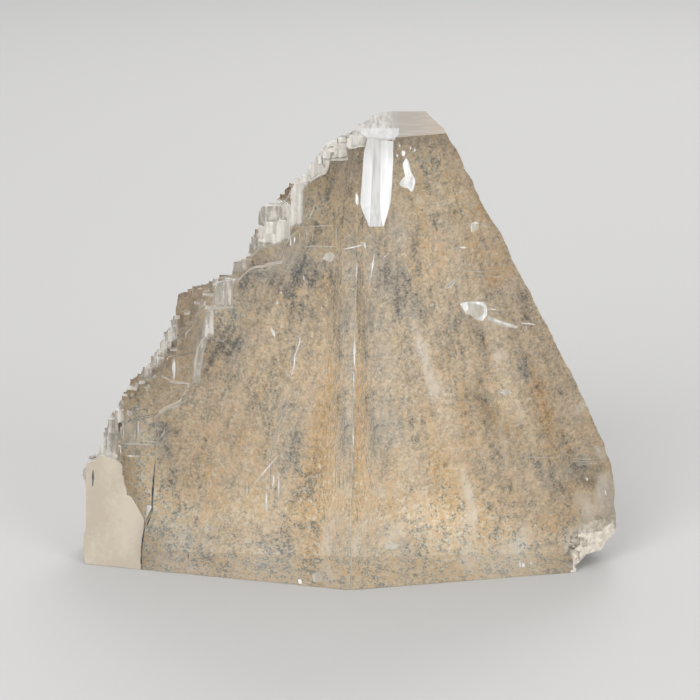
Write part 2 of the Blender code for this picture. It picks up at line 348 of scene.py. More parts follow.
def skyline(rng):
    """All that lies within the ragged outline as seen from the front, a little from above."""
    left = [(x, z, RIM_BEHIND) for x, z in ragged(moved(RIM), rng, 1.1, 0.2, True) if z > 0.01]
    right = ragged(moved(RIGHT), rng, 1.3, 0.16, False)
    right = [(x, z, 0.0) for x, z in right[: right.index(moved(RIGHT)[-1]) + 1]]
    outline = left + [(-63, -70, 0), (90, -70, 0), (90, 13, 0)] + right
    bm = bmesh.new()
    near, far = [], []
    for x, z, behind in outline:
        # the line of sight falls 15 degrees at mid height, and a degree less for each 11 mm up
        fall = tan(radians(15 - (z - 52) / 11))
        for ring, y in ((near, -60), (far, FAR + 5)):
            ring += ring_of(bm, [(x, y, z + fall * (face_y(x, z, behind) - y))])
    bm.faces.new(near)
    bm.faces.new(far)
    for i in range(len(outline)):
        bm.faces.new((near[i - 1], near[i], far[i], far[i - 1]))
    bmesh.ops.triangulate(bm, faces=bm.faces)
    return mesh_object("skyline", bm)


def build_block():
    """Adds up the steps, then trims them. No two pieces end at the same depth, so no faces coincide."""
    rng = random.Random(11)
    block = slab("spar", ragged(moved(FRONT), rng, 1.6, 0.22, False), 0.0, FAR)
    combine(block, slab("rim", RIM_SIDE, RIM_BEHIND, FAR + 1), "UNION")
    second = ragged(moved(SECOND), rng, 2.0, 0.35, True)
    combine(block, slab("second", second, SECOND_BEHIND, 12.1), "UNION")
    for i, (behind, outline) in enumerate(BLOCKS):
        combine(block, slab("b", moved(outline), behind, 13.1 + i), "UNION")
    small_blocks(block, rng)
    combine(block, slab("foot", moved(FOOT), 0.0, 11.1, FOOT_LEAN), "UNION")
    for behind, outline in WINDOWS:
        sink(block, moved(outline), behind)
    right_side = [(x + CRACK_HALF, z) for x, z in moved(CRACK)]
    left_side = [(x - CRACK_HALF, z) for x, z in reversed(moved(CRACK))]
    sink(block, right_side + left_side, CRACK_DEEP)
    broken_corner(block, rng)
    combine(block, skyline(rng), "INTERSECT")
    combine(block, bounds_space(), "INTERSECT")
    combine(block, notch(), "DIFFERENCE")
    for thickness, outline in BACK_TREADS:
        cutter = combine(prism("tread", moved(outline), -70, FAR + 10), folded(thickness), "INTERSECT")
        combine(block, cutter, "DIFFERENCE")
    return block


block = build_block()
bm = bmesh.new()
bm.from_mesh(block.data)
bmesh.ops.remove_doubles(bm, verts=bm.verts, dist=0.00001)
bmesh.ops.dissolve_limit(bm, angle_limit=radians(0.05), verts=bm.verts, edges=bm.edges)
bmesh.ops.delete(bm, geom=[e for e in bm.edges if not e.link_faces], context="EDGES")

# ---------------------------------------------------------------- which face is which
SPANS = ((-64, 64), (-23, 23), (0, 108))  # a little more than the block, on each axis
CLEAR, STEP, FILM, CAP, FOOTING, BROKEN, BASE, FLUTE, FLOOR, WALL = range(10)


def kind_of(face):
    """Tells a face's kind by where it lies and which way it looks."""
    c = face.calc_center_median() / MM
    n = face.normal
    behind = c.y - face_y(c.x, c.z)
    if n.z < -0.95 and c.z < 0.5:  # looks down
        return BASE
    if 3 < c.x < 11 and c.z > 84 and 0.02 < behind < 1.2 and n.y < -0.5:  # in the notch
        return FLOOR if 0.08 < n.x < 0.35 else FLUTE
    if n.y > 0.3 or behind > 13.5:  # the back, and the sides behind the steps
        return FILM
    if n.z > 0.9 and c.z > 103:  # the level top
        return CAP
    if c.x < -46 and c.z < 27 and behind < RIM_BEHIND - 0.1 and n.z > 0.2 and n.y < -0.5:  # slopes
        return FOOTING
    if c.x > 50 and c.z < 30 and behind > 0.05:  # the lower right corner, behind the front
        return BROKEN
    if -0.3 < behind < 0.05 and n.y < -0.9:  # the two broad glassy faces
        return CLEAR
    return STEP if n.y < -0.8 or c.x > 12 else WALL


for f in bm.faces:
    f.material_index = kind_of(f)


def grid(bm, step, kinds, axes):
    """Cuts faces of some kinds into a fine grid, to be roughened and toned."""
    for axis in axes:
        low, high = SPANS[axis]
        k = low + step / 2
        while k < high:
            faces = [f for f in bm.faces if f.material_index in kinds]
            edges, verts = {e for f in faces for e in f.edges}, {v for f in faces for v in f.verts}
            co, no = Vector((0, 0, 0)), Vector((0, 0, 0))
            co[axis], no[axis] = k * MM, 1
            geom = faces + list(edges) + list(verts)
            bmesh.ops.bisect_plane(bm, geom=geom, plane_co=co, plane_no=no, dist=1e-7)
            k += step


grid(bm, 1.3, (FILM, BASE), (0, 2))
grid(bm, 1.3, (BASE, CAP), (1,))
grid(bm, 0.8, (STEP, WALL, CAP, FOOTING, BROKEN), (0, 2))


# ---------------------------------------------------------------- the film's rough surface
def kinds_at(v):
    return {f.material_index for f in v.link_faces}


def roughen(bm):
    """Softens the treads of the back, makes it uneven, and leaves every other edge sharp."""
    inner = [v for v in bm.verts if kinds_at(v) == {FILM}]
    for _ in range(16):
        bmesh.ops.smooth_vert(
            bm, verts=inner, factor=0.5, use_axis_x=True, use_axis_y=True, use_axis_z=True
        )
    bm.normal_update()
    shifts = []
    for v in inner:
        p = v.co / MM
        coarse = noise.fractal(p / 9, 0.9, 2.1, 4)
        fine = noise.fractal(p / 2.2 + Vector((7, 3, 1)), 0.8, 2.0, 3)
        shifts.append(v.normal * (0.5 * coarse + 0.1 * fine) * MM * min(1, p.z / 3))
    for v, d in zip(inner, shifts):
        v.co += d
    for f in bm.faces:
        f.smooth = f.material_index in (FILM, BASE)
    for e in bm.edges:
        kinds = {f.material_index for f in e.link_faces}
        if len(kinds) > 1 or not kinds <= {FILM, BASE}:
            e.smooth = False


roughen(bm)

# ---------------------------------------------------------------- the film's tones
# Each patch: middle (x, z) as seen on the front, half sizes, strength, and tilt in degrees if it has one.
# DARK: where the dark flecks of painted shade crowd
DARK = [
    (-4.5, 72.5, 2.6, 4.5, 0.9), (-9.5, 73.5, 3, 2.2, 1), (-13, 71, 3, 3, 0.8), (-18, 70.5, 2.5, 3, 0.6),
    (-22.5, 70, 2.8, 4, 0.7), (-20.5, 75, 3, 2, 0.4), (-8, 76.5, 2.5, 2.5, 0.4), (-14, 79, 2, 3, 0.35),
    (-2.5, 86, 2.6, 5, 0.6), (-7, 84, 2, 3, 0.35), (-1, 93, 1.5, 5, 0.5), (-4.5, 98.5, 2.5, 2.5, 0.4),
    (-28.5, 57.5, 2.6, 5, 0.9), (-25.5, 55, 2, 4, 0.6), (-34, 56, 1.6, 4, 0.8), (-36.5, 60, 1.8, 3, 0.6),
    (-35, 63.5, 2, 1.5, 0.5), (-50.5, 36.5, 1.6, 3, 0.9), (-48, 31, 1.4, 4, 0.4),
    (-51, 28, 2.6, 2.2, 0.9), (-45, 34, 2.4, 2.6, 0.6), (-43, 25, 0.9, 7, 0.9), (-45.8, 22, 0.7, 8, 0.3),
    (-40.5, 33, 1.6, 3.5, 0.5), (-41, 15, 2, 3, 0.4), (-43.5, 8, 2.6, 2.4, 0.6), (-40, 5, 2, 2, 0.5),
    (-38.5, 11, 2, 2, 0.5), (-34, 4.5, 2.6, 3, 0.5), (-29, 2.5, 2.5, 2, 0.5), (-20, 8, 2.4, 1.8, 0.7),
    (-17.5, 4, 2.4, 3, 0.7), (-21, 2.5, 2, 2, 0.5), (-14.5, 10, 1.5, 4, 0.4), (-20, 36, 1.4, 6, 0.4),
    (-16, 42, 1.4, 5, 0.4), (-25, 48, 4, 1.2, 0.4), (-12, 31, 1.5, 4, 0.35), (-24, 41, 1.4, 3, 0.3),
    (6, 73, 3.2, 2.6, 0.6), (10.5, 74, 2, 3.6, 0.5), (13, 71, 1.8, 4, 0.6),
    (15.5, 66.5, 1.8, 3, 0.7, -15), (18, 63.5, 1.6, 2.4, 0.7, -15), (12, 66, 1.6, 2.6, 0.35),
    (19, 67, 1.2, 3, 0.3), (9, 79, 2, 3, 0.4), (3.5, 78.5, 1.6, 4, 0.35), (20.5, 86.5, 1.8, 2.6, 0.7),
    (25, 86.5, 1.6, 2.6, 0.7, -20), (20.5, 99.5, 1.8, 2.6, 0.7), (22.5, 102.5, 1.4, 1.4, 0.8),
    (26, 94, 1.4, 3, 0.5, -25), (27.5, 77, 1.4, 3.5, 0.5, -10), (17, 81, 1.4, 4, 0.25),
    (27.5, 63, 1.6, 5, 0.6, -10), (24, 57, 1.4, 4, 0.4, -10), (32, 57.5, 2, 2, 0.6),
    (35.5, 56, 1.8, 2.4, 0.6), (42, 60.5, 1.8, 3, 0.7), (41.5, 67, 2, 2.2, 0.7), (37, 63, 1.8, 1.6, 0.5),
    (42.5, 48.5, 1.5, 5, 0.8, -8), (39, 52, 1.2, 2.5, 0.4), (50, 43.5, 2.4, 1.2, 0.6),
    (48, 37, 1.2, 5, 0.6, -15), (6, 36.5, 1.3, 8, 0.8, -14), (3.5, 44, 1.1, 6, 0.5),
    (13, 39, 1.4, 5, 0.6, -10), (10.5, 30, 1.4, 5, 0.4, -12), (16, 35, 1.2, 4, 0.5, -8),
    (8.5, 43, 1.5, 3, 0.4), (33, 36, 1.5, 4, 0.7, -10), (36, 27, 1.2, 6, 0.8, -12),
    (38.8, 21.5, 1.6, 2.4, 0.9, -10), (39.8, 29, 1.5, 2, 0.8), (31.5, 44, 1.2, 4, 0.4, -10),
    (35.5, 8, 0.8, 8, 0.6), (51.5, 31.5, 1.8, 4.5, 0.8, -8), (46.8, 26, 2, 3.5, 0.8, -8),
    (57, 24.5, 2.4, 3, 0.9), (52.5, 26.5, 2, 2, 0.9), (56.5, 30.5, 2.2, 1.6, 0.6),
    (49.5, 19, 1.6, 2.2, 0.6), (58.5, 21.5, 1.2, 1.6, 0.6), (14.5, 8, 2, 2, 0.6), (17, 5, 1.6, 3, 0.5),
    (9.5, 5.5, 2, 2, 0.3), (19, 12, 1.2, 5, 0.3), (12.5, 14, 1.6, 2, 0.3),
]
WARM = [
    (-2, 40, 5, 5, 0.5), (-7.5, 23, 4, 6, 0.4), (0, 64, 6, 7, -0.5), (-8, 57, 7, 9, -0.45),
    (13, 30, 4, 4, -0.3), (-28, 22, 5, 6, -0.4), (22, 16, 4, 5, 0.4), (-6, 38, 3, 8, 1.1),
    (-3.5, 47, 3, 7, 0.9), (-12, 26, 5, 7, 0.7), (-11, 16, 5, 6, 0.7), (-10, 6, 5, 4, 0.5),
    (-5.5, 28, 3.6, 7, 1.3), (-7.5, 19, 3.2, 6, 1.1), (-7, 9, 3.2, 5, 0.9), (-6, 2, 3, 2, 0.6),
    (-1, 30, 1.6, 8, 0.6), (-1.5, 44, 1.6, 8, 0.6), (0, 56, 0.9, 7, 0.9), (-5, 53, 1.8, 9, 0.7, 3),
    (-21, 51, 1.8, 9, 0.8, 4), (-22.5, 62, 1.6, 4, 0.5, 4), (-31.5, 44, 1.6, 6, 0.6),
    (-24, 33, 2.4, 5, 0.5), (-29, 22, 4, 7, 0.7), (-22.5, 20, 3, 5, 0.6), (-35, 13, 4, 2.5, 0.6),
    (-27, 36, 2.5, 4, 0.4), (-47.5, 19, 1.6, 4, 0.5), (-33, 24, 2, 6, 0.4), (-22, 14, 3, 2.5, 0.6),
    (-11, 14, 2, 4, 0.4), (-26, 6, 2, 3, 0.3), (-36, 37, 2, 4, 0.3), (1, 77.5, 1.4, 6, 0.8),
    (-2, 67, 1.2, 4, 0.4), (2, 71, 1, 3, 0.4), (-12, 95, 3, 4, 0.5, -30), (-4, 92, 4, 8, 0.4),
    (17, 78, 3.4, 8, 0.9), (16, 90, 2.6, 6, 0.7), (22, 73, 2, 7, 0.7), (24, 92, 2, 5, 0.5, -22),
    (30, 80, 3, 5, 0.8, -22), (34.5, 71.5, 2.6, 2.6, 1.2), (31, 87, 2, 3, 0.6), (36, 76, 2, 4, 0.6, -25),
    (28, 98, 2, 3, 0.3, -30), (25.5, 64, 1.2, 7, 0.7, -6), (24, 53, 1.4, 6, 0.6, -6),
    (27.5, 44, 1.6, 8, 1, -8), (29.5, 34, 1.6, 7, 0.8, -8), (20.5, 36, 1.8, 7, 0.8, -8),
    (22.5, 27, 3, 5, 1.1), (24.5, 17, 3.5, 7, 1.2), (21.5, 7, 2.5, 6, 0.8), (26, 5, 2.5, 5, 0.7),
    (32, 12, 1.4, 8, 0.7), (17, 24, 2, 5, 0.4), (45, 47, 1.6, 6, 0.9, -18), (47.5, 38, 1.4, 5, 0.9, -18),
    (38, 36, 1.6, 6, 0.5, -12), (41.5, 32, 1.4, 5, 0.4, -12), (35, 44, 1.6, 5, 0.4, -12),
    (50, 11, 2.5, 4, 0.7), (46, 13, 2, 4, 0.5), (53, 29, 1, 2, 0.5), (53, 14, 1.5, 2, 0.4),
    (57, 34, 1.4, 3, 0.4, -22), (4, 3, 3, 2, 0.5), (14, 12, 2, 2, 0.4), (7, 21, 3, 3, 0.3),
    (11, 18, 2, 2, 0.3), (-14, 79, 4, 4, -0.9), (13, 76, 4, 7, -0.6), (-4, 66, 7, 4, -0.9),
    (6.5, 66, 4, 4, -0.5), (-4, 59.5, 7, 4, -0.3), (-21, 51, 4, 4, -0.4), (-28, 44, 4, 4, -0.4),
    (0, 38.5, 3, 4, 0.9), (-28, 22, 4, 4, -0.5), (-28, 8, 9, 4, -0.45), (-35, 14, 4, 4, -0.4),
    (8, 6, 6, 4, -0.4), (-7, 24, 4, 4, 0.9), (31, 8, 6, 4, 0.4), (-50, 21, 4, 7, 1.2),
    (-45, 9, 5, 7, 0.5), (-51, 34, 3, 5, 0.3), (55, 22, 4, 4, -1), (14, 88, 3, 4, -0.5),
    (-1, 66, 8, 4, -0.3), (-21, 44, 4, 4, -0.4),
]
GREY = [
    (-7, 77, 5, 3, 0.5), (-12, 73, 6, 4, 0.7), (-21, 73, 4, 4, 0.5), (5, 78, 4, 6, 0.9),
    (9, 72, 4, 5, 0.9), (15, 65, 3, 4, 0.6, -15), (12, 84, 1.5, 4, 0.6), (6.5, 60, 4, 6, 0.6),
    (8, 52, 5, 6, 0.5), (-16, 40, 4, 8, 0.6), (-14, 28, 3, 6, 0.4), (-27, 54, 3, 6, 0.5),
    (-35, 57, 3, 5, 0.6), (-45, 33, 3, 4, 0.6), (-42, 20, 3, 8, 0.4), (-43, 8, 4, 4, 0.7),
    (-35, 6, 4, 4, 0.7), (-19, 5, 4, 4, 0.8), (-52, 33, 3, 5, 0.5), (-37, 48, 3, 3, 0.3),
    (6, 38, 3.5, 8, 0.8, -14), (11, 38, 3, 7, 0.8, -10), (14, 8, 4, 4, 0.8), (10, 12, 4, 3, 0.6),
    (3, 8, 3, 2.5, 0.6), (33, 60, 4, 3, 0.5), (42, 49, 2, 4, 0.8), (50, 33, 3, 5, 0.5, -12),
    (57, 25, 3, 3, 0.7), (48, 24, 4, 3, 0.4), (37, 26, 2.5, 7, 0.4, -12), (40, 6, 3, 4, 0.5),
    (55, 38, 2.5, 3, 0.5), (28, 65, 2, 5, 0.5), (34, 54, 3, 2, 0.5), (-1, 65, 9, 5, 0.9),
    (12.5, 79, 4, 9, 0.6), (-14, 79, 4, 4, 0.7), (53, 24, 4, 5, 0.5), (-45, 29, 4, 5, 0.5),
    (-7, 56, 5, 6, 0.4),
]
PALE = [
    (15.5, 63, 1.1, 4, 0.5, -15), (17.5, 56, 1.3, 5, 0.9, -15), (19.5, 49.5, 2, 4, 0.75, -12),
    (21.5, 44.5, 1.6, 3, 0.6, -10), (-5.5, 54, 1.2, 7, 0.6, 3), (-4.8, 44, 1.6, 3, 0.4),
    (-5, 10, 1.2, 4.5, 0.9, 8), (-4.6, 2.5, 1.6, 2.6, 0.9), (-3, 14, 1.2, 3, 0.6),
    (-0.5, 20, 1.8, 3, 0.7), (29.2, 20, 1, 4, 1, -8), (30.5, 13, 1, 4, 0.9), (28.5, 5, 1.3, 4, 0.9, 6),
    (28, 25, 0.9, 3, 0.6, -8), (41.5, 6, 2, 3, 0.8), (43, 10, 1.6, 2, 0.5), (38.5, 14, 1, 4, 0.3),
    (37.5, 32, 0.6, 7, 0.6, -12), (40, 23, 0.6, 5, 0.5, -12), (35.5, 53, 2, 1.4, 0.8),
    (35, 69, 3, 1.2, 0.3), (54.5, 38.5, 1.6, 1.6, 0.6), (57, 36, 1.2, 2, 0.4),
    (56, 40.5, 1.6, 1.2, 0.9, -35), (59, 34, 1.4, 1.6, 0.5), (56, 17, 2, 3, 0.9), (60, 19, 2, 4, 0.8),
    (57, 8, 3, 4, 1), (53, 6, 2, 3, 0.7), (3, 7.5, 2.6, 1.2, 0.8), (10, 9.5, 3, 1.2, 0.7),
    (12, 12.5, 3, 1.2, 0.6), (5, 14, 3, 2, 0.4), (8, 22, 3, 2, 0.3), (-20, 13.5, 2, 1, 0.5),
    (-33.5, 10.4, 2.4, 0.9, 1), (-34, 6.5, 1.4, 1.6, 0.7), (-37, 1.5, 1.4, 1, 1), (-34, 1.2, 1.2, 1, 0.8),
    (-24, 12, 2, 1.2, 0.4), (-29, 27, 2, 3, 0.3), (-48, 21, 1, 3, 0.3), (-54, 34, 1.5, 4, 0.5, -12),
    (-11.8, 55, 1, 5, 0.4), (7.5, 41, 1.2, 1.5, 0.5), (-6, 74.5, 1.6, 1, 0.4), (5, 73, 0.8, 2, 0.5),
    (27, 78, 1.5, 1.5, 0.4),
]
SHADE = [
    (-6, 90, 6, 8, -0.5), (16, 100, 9, 4, -0.9), (21, 90, 8, 6, -0.7), (-4, 68, 13, 13, 0.8),
    (0, 65, 4, 6, 0.35), (-14, 50, 4, 4, 0.35), (20.5, 50, 3, 4, 0.4), (-52, 32, 4, 5, -0.8),
    (-0.5, 23, 4, 5, -0.4), (36, 66, 5, 5, -0.3), (-16, 77, 5, 5, -0.6), (9, 76, 8, 8, 0.4),
    (-6, 54, 7, 6, 0.4), (-50, 24, 4, 12, -1.5), (-50, 36, 4, 6, -0.6), (-43, 10, 6, 8, -1),
    (24, 13, 8, 8, -0.6), (37, 5, 8, 5, -0.8), (-10, 20, 6, 10, -0.4), (-20, 4, 8, 4, -0.5),
    (20, 34, 8, 5, -0.2), (-1, 86, 5, 8, 0.2), (33, 72, 5, 4, 0.4), (-28, 66, 5, 6, -0.9),
    (-28, 54, 4, 5, 0.3), (-35, 56, 4, 5, 0.2), (-51, 28, 4, 4, 0.3), (46, 43, 2.5, 8, 0.4, -18),
    (57, 25, 3, 3, 0.5), (50, 30, 4, 6, 0.2), (-13, 72, 12, 4, 0.2), (28, 86, 7, 8, 0.2, -25),
    (56, 21, 5, 3, 1.2), (20, 11, 8, 6, -0.3), (-7, 90, 4, 6, -0.8), (-21, 72, 4, 4, -0.6),
    (-28, 61, 4, 7, -0.6), (-4, 66, 7, 4, 0.8), (-2, 60, 5, 4, 0.7), (20, 52, 3, 3, 0.5),
    (56, 21, 4, 4, 0.4), (12, 76, 4, 8, 0.3), (-42, 31, 4, 4, 0.3), (16, 9, 4, 5, 0.3),
    (-10, 72, 6, 4, 0.3), (-21, 44.5, 4, 3.5, 0.35), (-50, 19, 4, 6, -0.6), (-7, 24, 4, 4, -0.4),
    (-49, 6, 5, 4, -0.6), (-42, 6, 4, 4, -0.3), (28, 8.5, 4, 4, -0.4), (-52, 33, 3, 5, -0.7),
]
# Where the outer faces are frosted by fine fractures: strength, softness of the edge, outline (x, z).
FROST = [
    (1, 0.8, [(4.4, 105.6), (5, 104), (4.1, 102.5), (0.1, 101.6), (0.1, 99.5), (-3.8, 99), (-3.8, 97.7),
        (-4.7, 96), (-6.5, 95), (-7.4, 94.4), (-8.6, 93.5), (-9.8, 91.8), (-10, 83.8), (-12.8, 83.4),
        (-12.8, 91.6), (-11.2, 94.5), (-7.4, 101.3), (-2, 106.7)]),
    (1.05, 0.6, [(-20.5, 82.6), (-12.8, 84.6), (-12.8, 80.3), (-16.5, 79), (-20.5, 78.9)]),
    (0.7, 0.8, [(-20.3, 87.9), (-12.7, 88.5), (-12.8, 84.6), (-20.5, 82.6)]),
    (0.55, 1, [(-23.1, 79.7), (-20.5, 81.2), (-20.2, 78.9), (-12.9, 80.3), (-13.4, 79.1), (-19.5, 77.4),
        (-23, 75)]),
    (0.5, 1.2, [(-26.4, 76), (-22.9, 75), (-22.3, 73.7), (-23.3, 72.3), (-26.6, 71.5)]),
    (0.6, 0.6, [(-31, 68.4), (-27.9, 70.4), (-25.6, 70.4), (-26.3, 67.6), (-26.5, 64), (-30.8, 63.4)]),
    (0.65, 0.6, [(-32.5, 62.9), (-28.8, 63.7), (-29.6, 57.9), (-30.3, 57.4), (-33.5, 56.7),
        (-33.3, 59.7)]),
    (0.5, 0.8, [(-34.7, 54.9), (-33.3, 56.9), (-32.3, 56.9), (-33.3, 53.4), (-34.1, 45.6), (-36, 45.5),
        (-35.5, 52.5)]),
    (0.6, 1, [(-40.1, 61.1), (-39.2, 54.3), (-40.6, 52.7), (-42.6, 50.5), (-44.3, 48), (-46.5, 44.3),
        (-49.7, 43), (-47.4, 48.9), (-44, 54.3), (-42, 56.8)]),
    (0.6, 1.5, [(-60, 26.6), (-58.8, 29.6), (-55.8, 35.1), (-53.3, 40.3), (-52.4, 34.8), (-54.5, 27.8),
        (-54.6, 24.9), (-57.3, 24.7)]),
    (0.9, 0.8, [(-63.3, 23.7), (-60.6, 23.9), (-61, 18.5), (-63.3, 19.3)]),
    (1, 1.5, [(-59.3, 22.8), (-58, 26.8), (-54.6, 24.9), (-53.3, 22.6), (-55.9, 22.1)]),
    (1, 1.2, [(60.6, 6.1), (63.7, 7.5), (63.6, 11.4), (60, 9), (57.4, 9.3), (55, 9.1), (52, 6.7),
        (50.8, -1.2), (55.2, -1.1)]),
    (0.85, 16, [(48, 13), (80, 13), (80, -20), (48, -20)]),
    (0.35, 3, [(58, 24), (67, 24), (67, 6), (58, 6)]),
    (0.95, 1, [(-64.5, 23), (-64.5, 26), (-61, 27.5), (-58.6, 29), (-57.4, 24.5)]),
    (0.95, 0.6, [(-67, 24), (-62.6, 24), (-62.6, -2), (-67, -2)]),
    (0.5, 1.5, [(52.8, 41.4), (54.5, 40.4), (57.4, 36.4), (59.4, 31.5), (61, 25.9), (58, 28.7),
        (55.1, 33.7), (52.9, 38.1)]),
]
# Where a point of the film shows on the front, bent by the spar: its shift in x and z for each
# millimetre of depth, seen through the left and the right face.
BENT_LEFT, BENT_RIGHT = (-0.1085, 0.2014), (0.0876, 0.197)
BLEND = 0.2  # width over depth of the strip that shows through both
APEX, BANDS = (8.75, 132), 16  # where the film's streaks fan out from, and how finely they are divided


def front_places(p):
    """Where a point of the film shows, through the left and right faces, and the right one's share."""
    t = max(p.y - face_y(p.x, p.z), 0)
    left, right = ((p.x + dx * t, p.z + dz * t) for dx, dz in (BENT_LEFT, BENT_RIGHT))
    share = (p.x - FOLD[0]) / (BLEND * t + 0.1) + 0.5
    share = min(1, max(0, share))
    return left, right, share * share * (3 - 2 * share)


def zones(x, z, table):
    """The strongest of the outlined zones at (x, z), fading across each zone's edge."""
    best = 0
    for k, soft, outline in table:
        near, odd = 1e9, False
        for i, (ax, az) in enumerate(outline):
            bx, bz = outline[i - 1]
            dx, dz = bx - ax, bz - az
            t = min(1, max(0, ((x - ax) * dx + (z - az) * dz) / (dx * dx + dz * dz)))
            near = min(near, hypot(x - ax - t * dx, z - az - t * dz))
            if (az > z) != (bz > z) and x < dx * (z - az) / dz + ax:
                odd = not odd
        edge = near if odd else -near
        best = max(best, k * min(1, max(0, 0.5 + edge / soft)))
    return best


def patches(u, w, table):
    """The sum of the soft patches at (u, w)."""
    total = 0
    for x, z, rx, rz, k, *tilt in table:
        dx, dz = u - x, w - z
        if abs(dx) > 3 * max(rx, rz) or abs(dz) > 3 * max(rx, rz):
            continue
        a = radians(-sum(tilt))
        r = hypot((dx * cos(a) + dz * sin(a)) / rx, (-dx * sin(a) + dz * cos(a)) / rz)
        total += k * exp(-0.9 * r ** 2.4)
    return total


def streaks(u, w, seed):
    """Bands that fan out downwards from above the top."""
    s = (u - APEX[0]) / (APEX[1] - w)
    s += 0.03 * noise.noise(Vector((s * 5, w / 22, seed + 9)))
    return (
        0.6 * noise.noise(Vector((s * BANDS, w / 40, seed)))
        + 0.4 * noise.noise(Vector((s * BANDS * 2.7, w / 22, seed + 3)))
        + 0.2 * noise.noise(Vector((u / 3.5, w / 4, seed + 5)))
    )


def tones(u, w):
    """How dark, warm, grey, pale and lifted the film is where it shows at (u, w) on the front."""
    wob = Vector((u / 4, w / 4, 2))
    du, dw = u + 0.9 * noise.noise(wob), w + 0.9 * noise.noise(wob + Vector((4, 8, 3)))
    low = max(0, 1 - w / 32)
    return (
        0.85 * patches(du, dw, DARK) + 0.9 * streaks(u, w, 1),
        patches(du, dw, WARM) + 0.9 * streaks(u, w, 20) + 0.06 + 0.22 * low,
        patches(du, dw, GREY) + 0.6 * streaks(u, w, 31) + 0.05,
        patches(du, dw, PALE) + 0.3 * streaks(u, w, 44),
        min(1.5, 0.7 * low + 0.4 * max(0, 1 - w / 18) - 0.15 - patches(du, dw, SHADE)),
    )


places, masks, pales, lifts, frosts, unders = [], [], [], [], [], []
for v in bm.verts:
    p = v.co / MM
    left, right, share = front_places(p)
    both = zip(tones(*left), tones(*right))
    dark, warm, grey, pale, lift = [a + (b - a) * share for a, b in both]
    u = p.x + BLEND * (share - 0.5) * max(p.y - face_y(p.x, p.z), 0)
    under = float(kinds_at(v) == {BASE})
    places.append((u * MM, left[1] * MM, 0.3 * p.y * MM))
    masks.append((dark, warm, grey))
    pales.append(pale)
    # the underside is lifted 0.4 more: painted light that makes up for the shade it sits in
    lifts.append(lift + 0.4 * under)
    frosts.append(zones(p.x, p.z, FROST) + 0.1 * noise.noise(p / 3))
    unders.append(under)

skin = BVHTree.FromBMesh(bm)
bm.to_mesh(block.data)
bm.free()

for name, values in (("place", places), ("tone", masks)):
    layer = block.data.attributes.new(name, "FLOAT_VECTOR", "POINT")
    layer.data.foreach_set("vector", [c for v in values for c in v])
for name, values in (("pale", pales), ("frost", frosts), ("lift", lifts), ("under", unders)):
    block.data.attributes.new(name, "FLOAT", "POINT").data.foreach_set("value", values)


# ---------------------------------------------------------------- materials
TAN_LOW, TAN_HIGH = (0.69, 0.535, 0.365), (0.91, 0.745, 0.53)
ORANGE, EMBER = (0.88, 0.635, 0.36), (0.68, 0.43, 0.21)
HAZE = (0.66, 0.60, 0.51)
PALE_CLAY, CREAM = (0.99, 0.91, 0.80), (1.0, 0.90, 0.73)
# painted shade: the colours that the dark flecks multiply the clay by, for the dark seen through gaps in
# the clay
GAP_SHADE, GAP_SHADE_BLUE, GAP_SHADE_DEEP = (0.55, 0.585, 0.635), (0.43, 0.51, 0.605), (0.52, 0.54, 0.55)
# The second colour is painted light: the underside is multiplied by a lighter colour than the sides, to
# make up for its shade.
SIDE_EVEN, UNDER_PAINTED_LIGHT = (0.818, 0.826, 0.815), (0.89, 0.895, 0.882)
IOR = 1.6
UPRIGHT = (1, 1, 0.05)  # stretches a noise into upright flutes


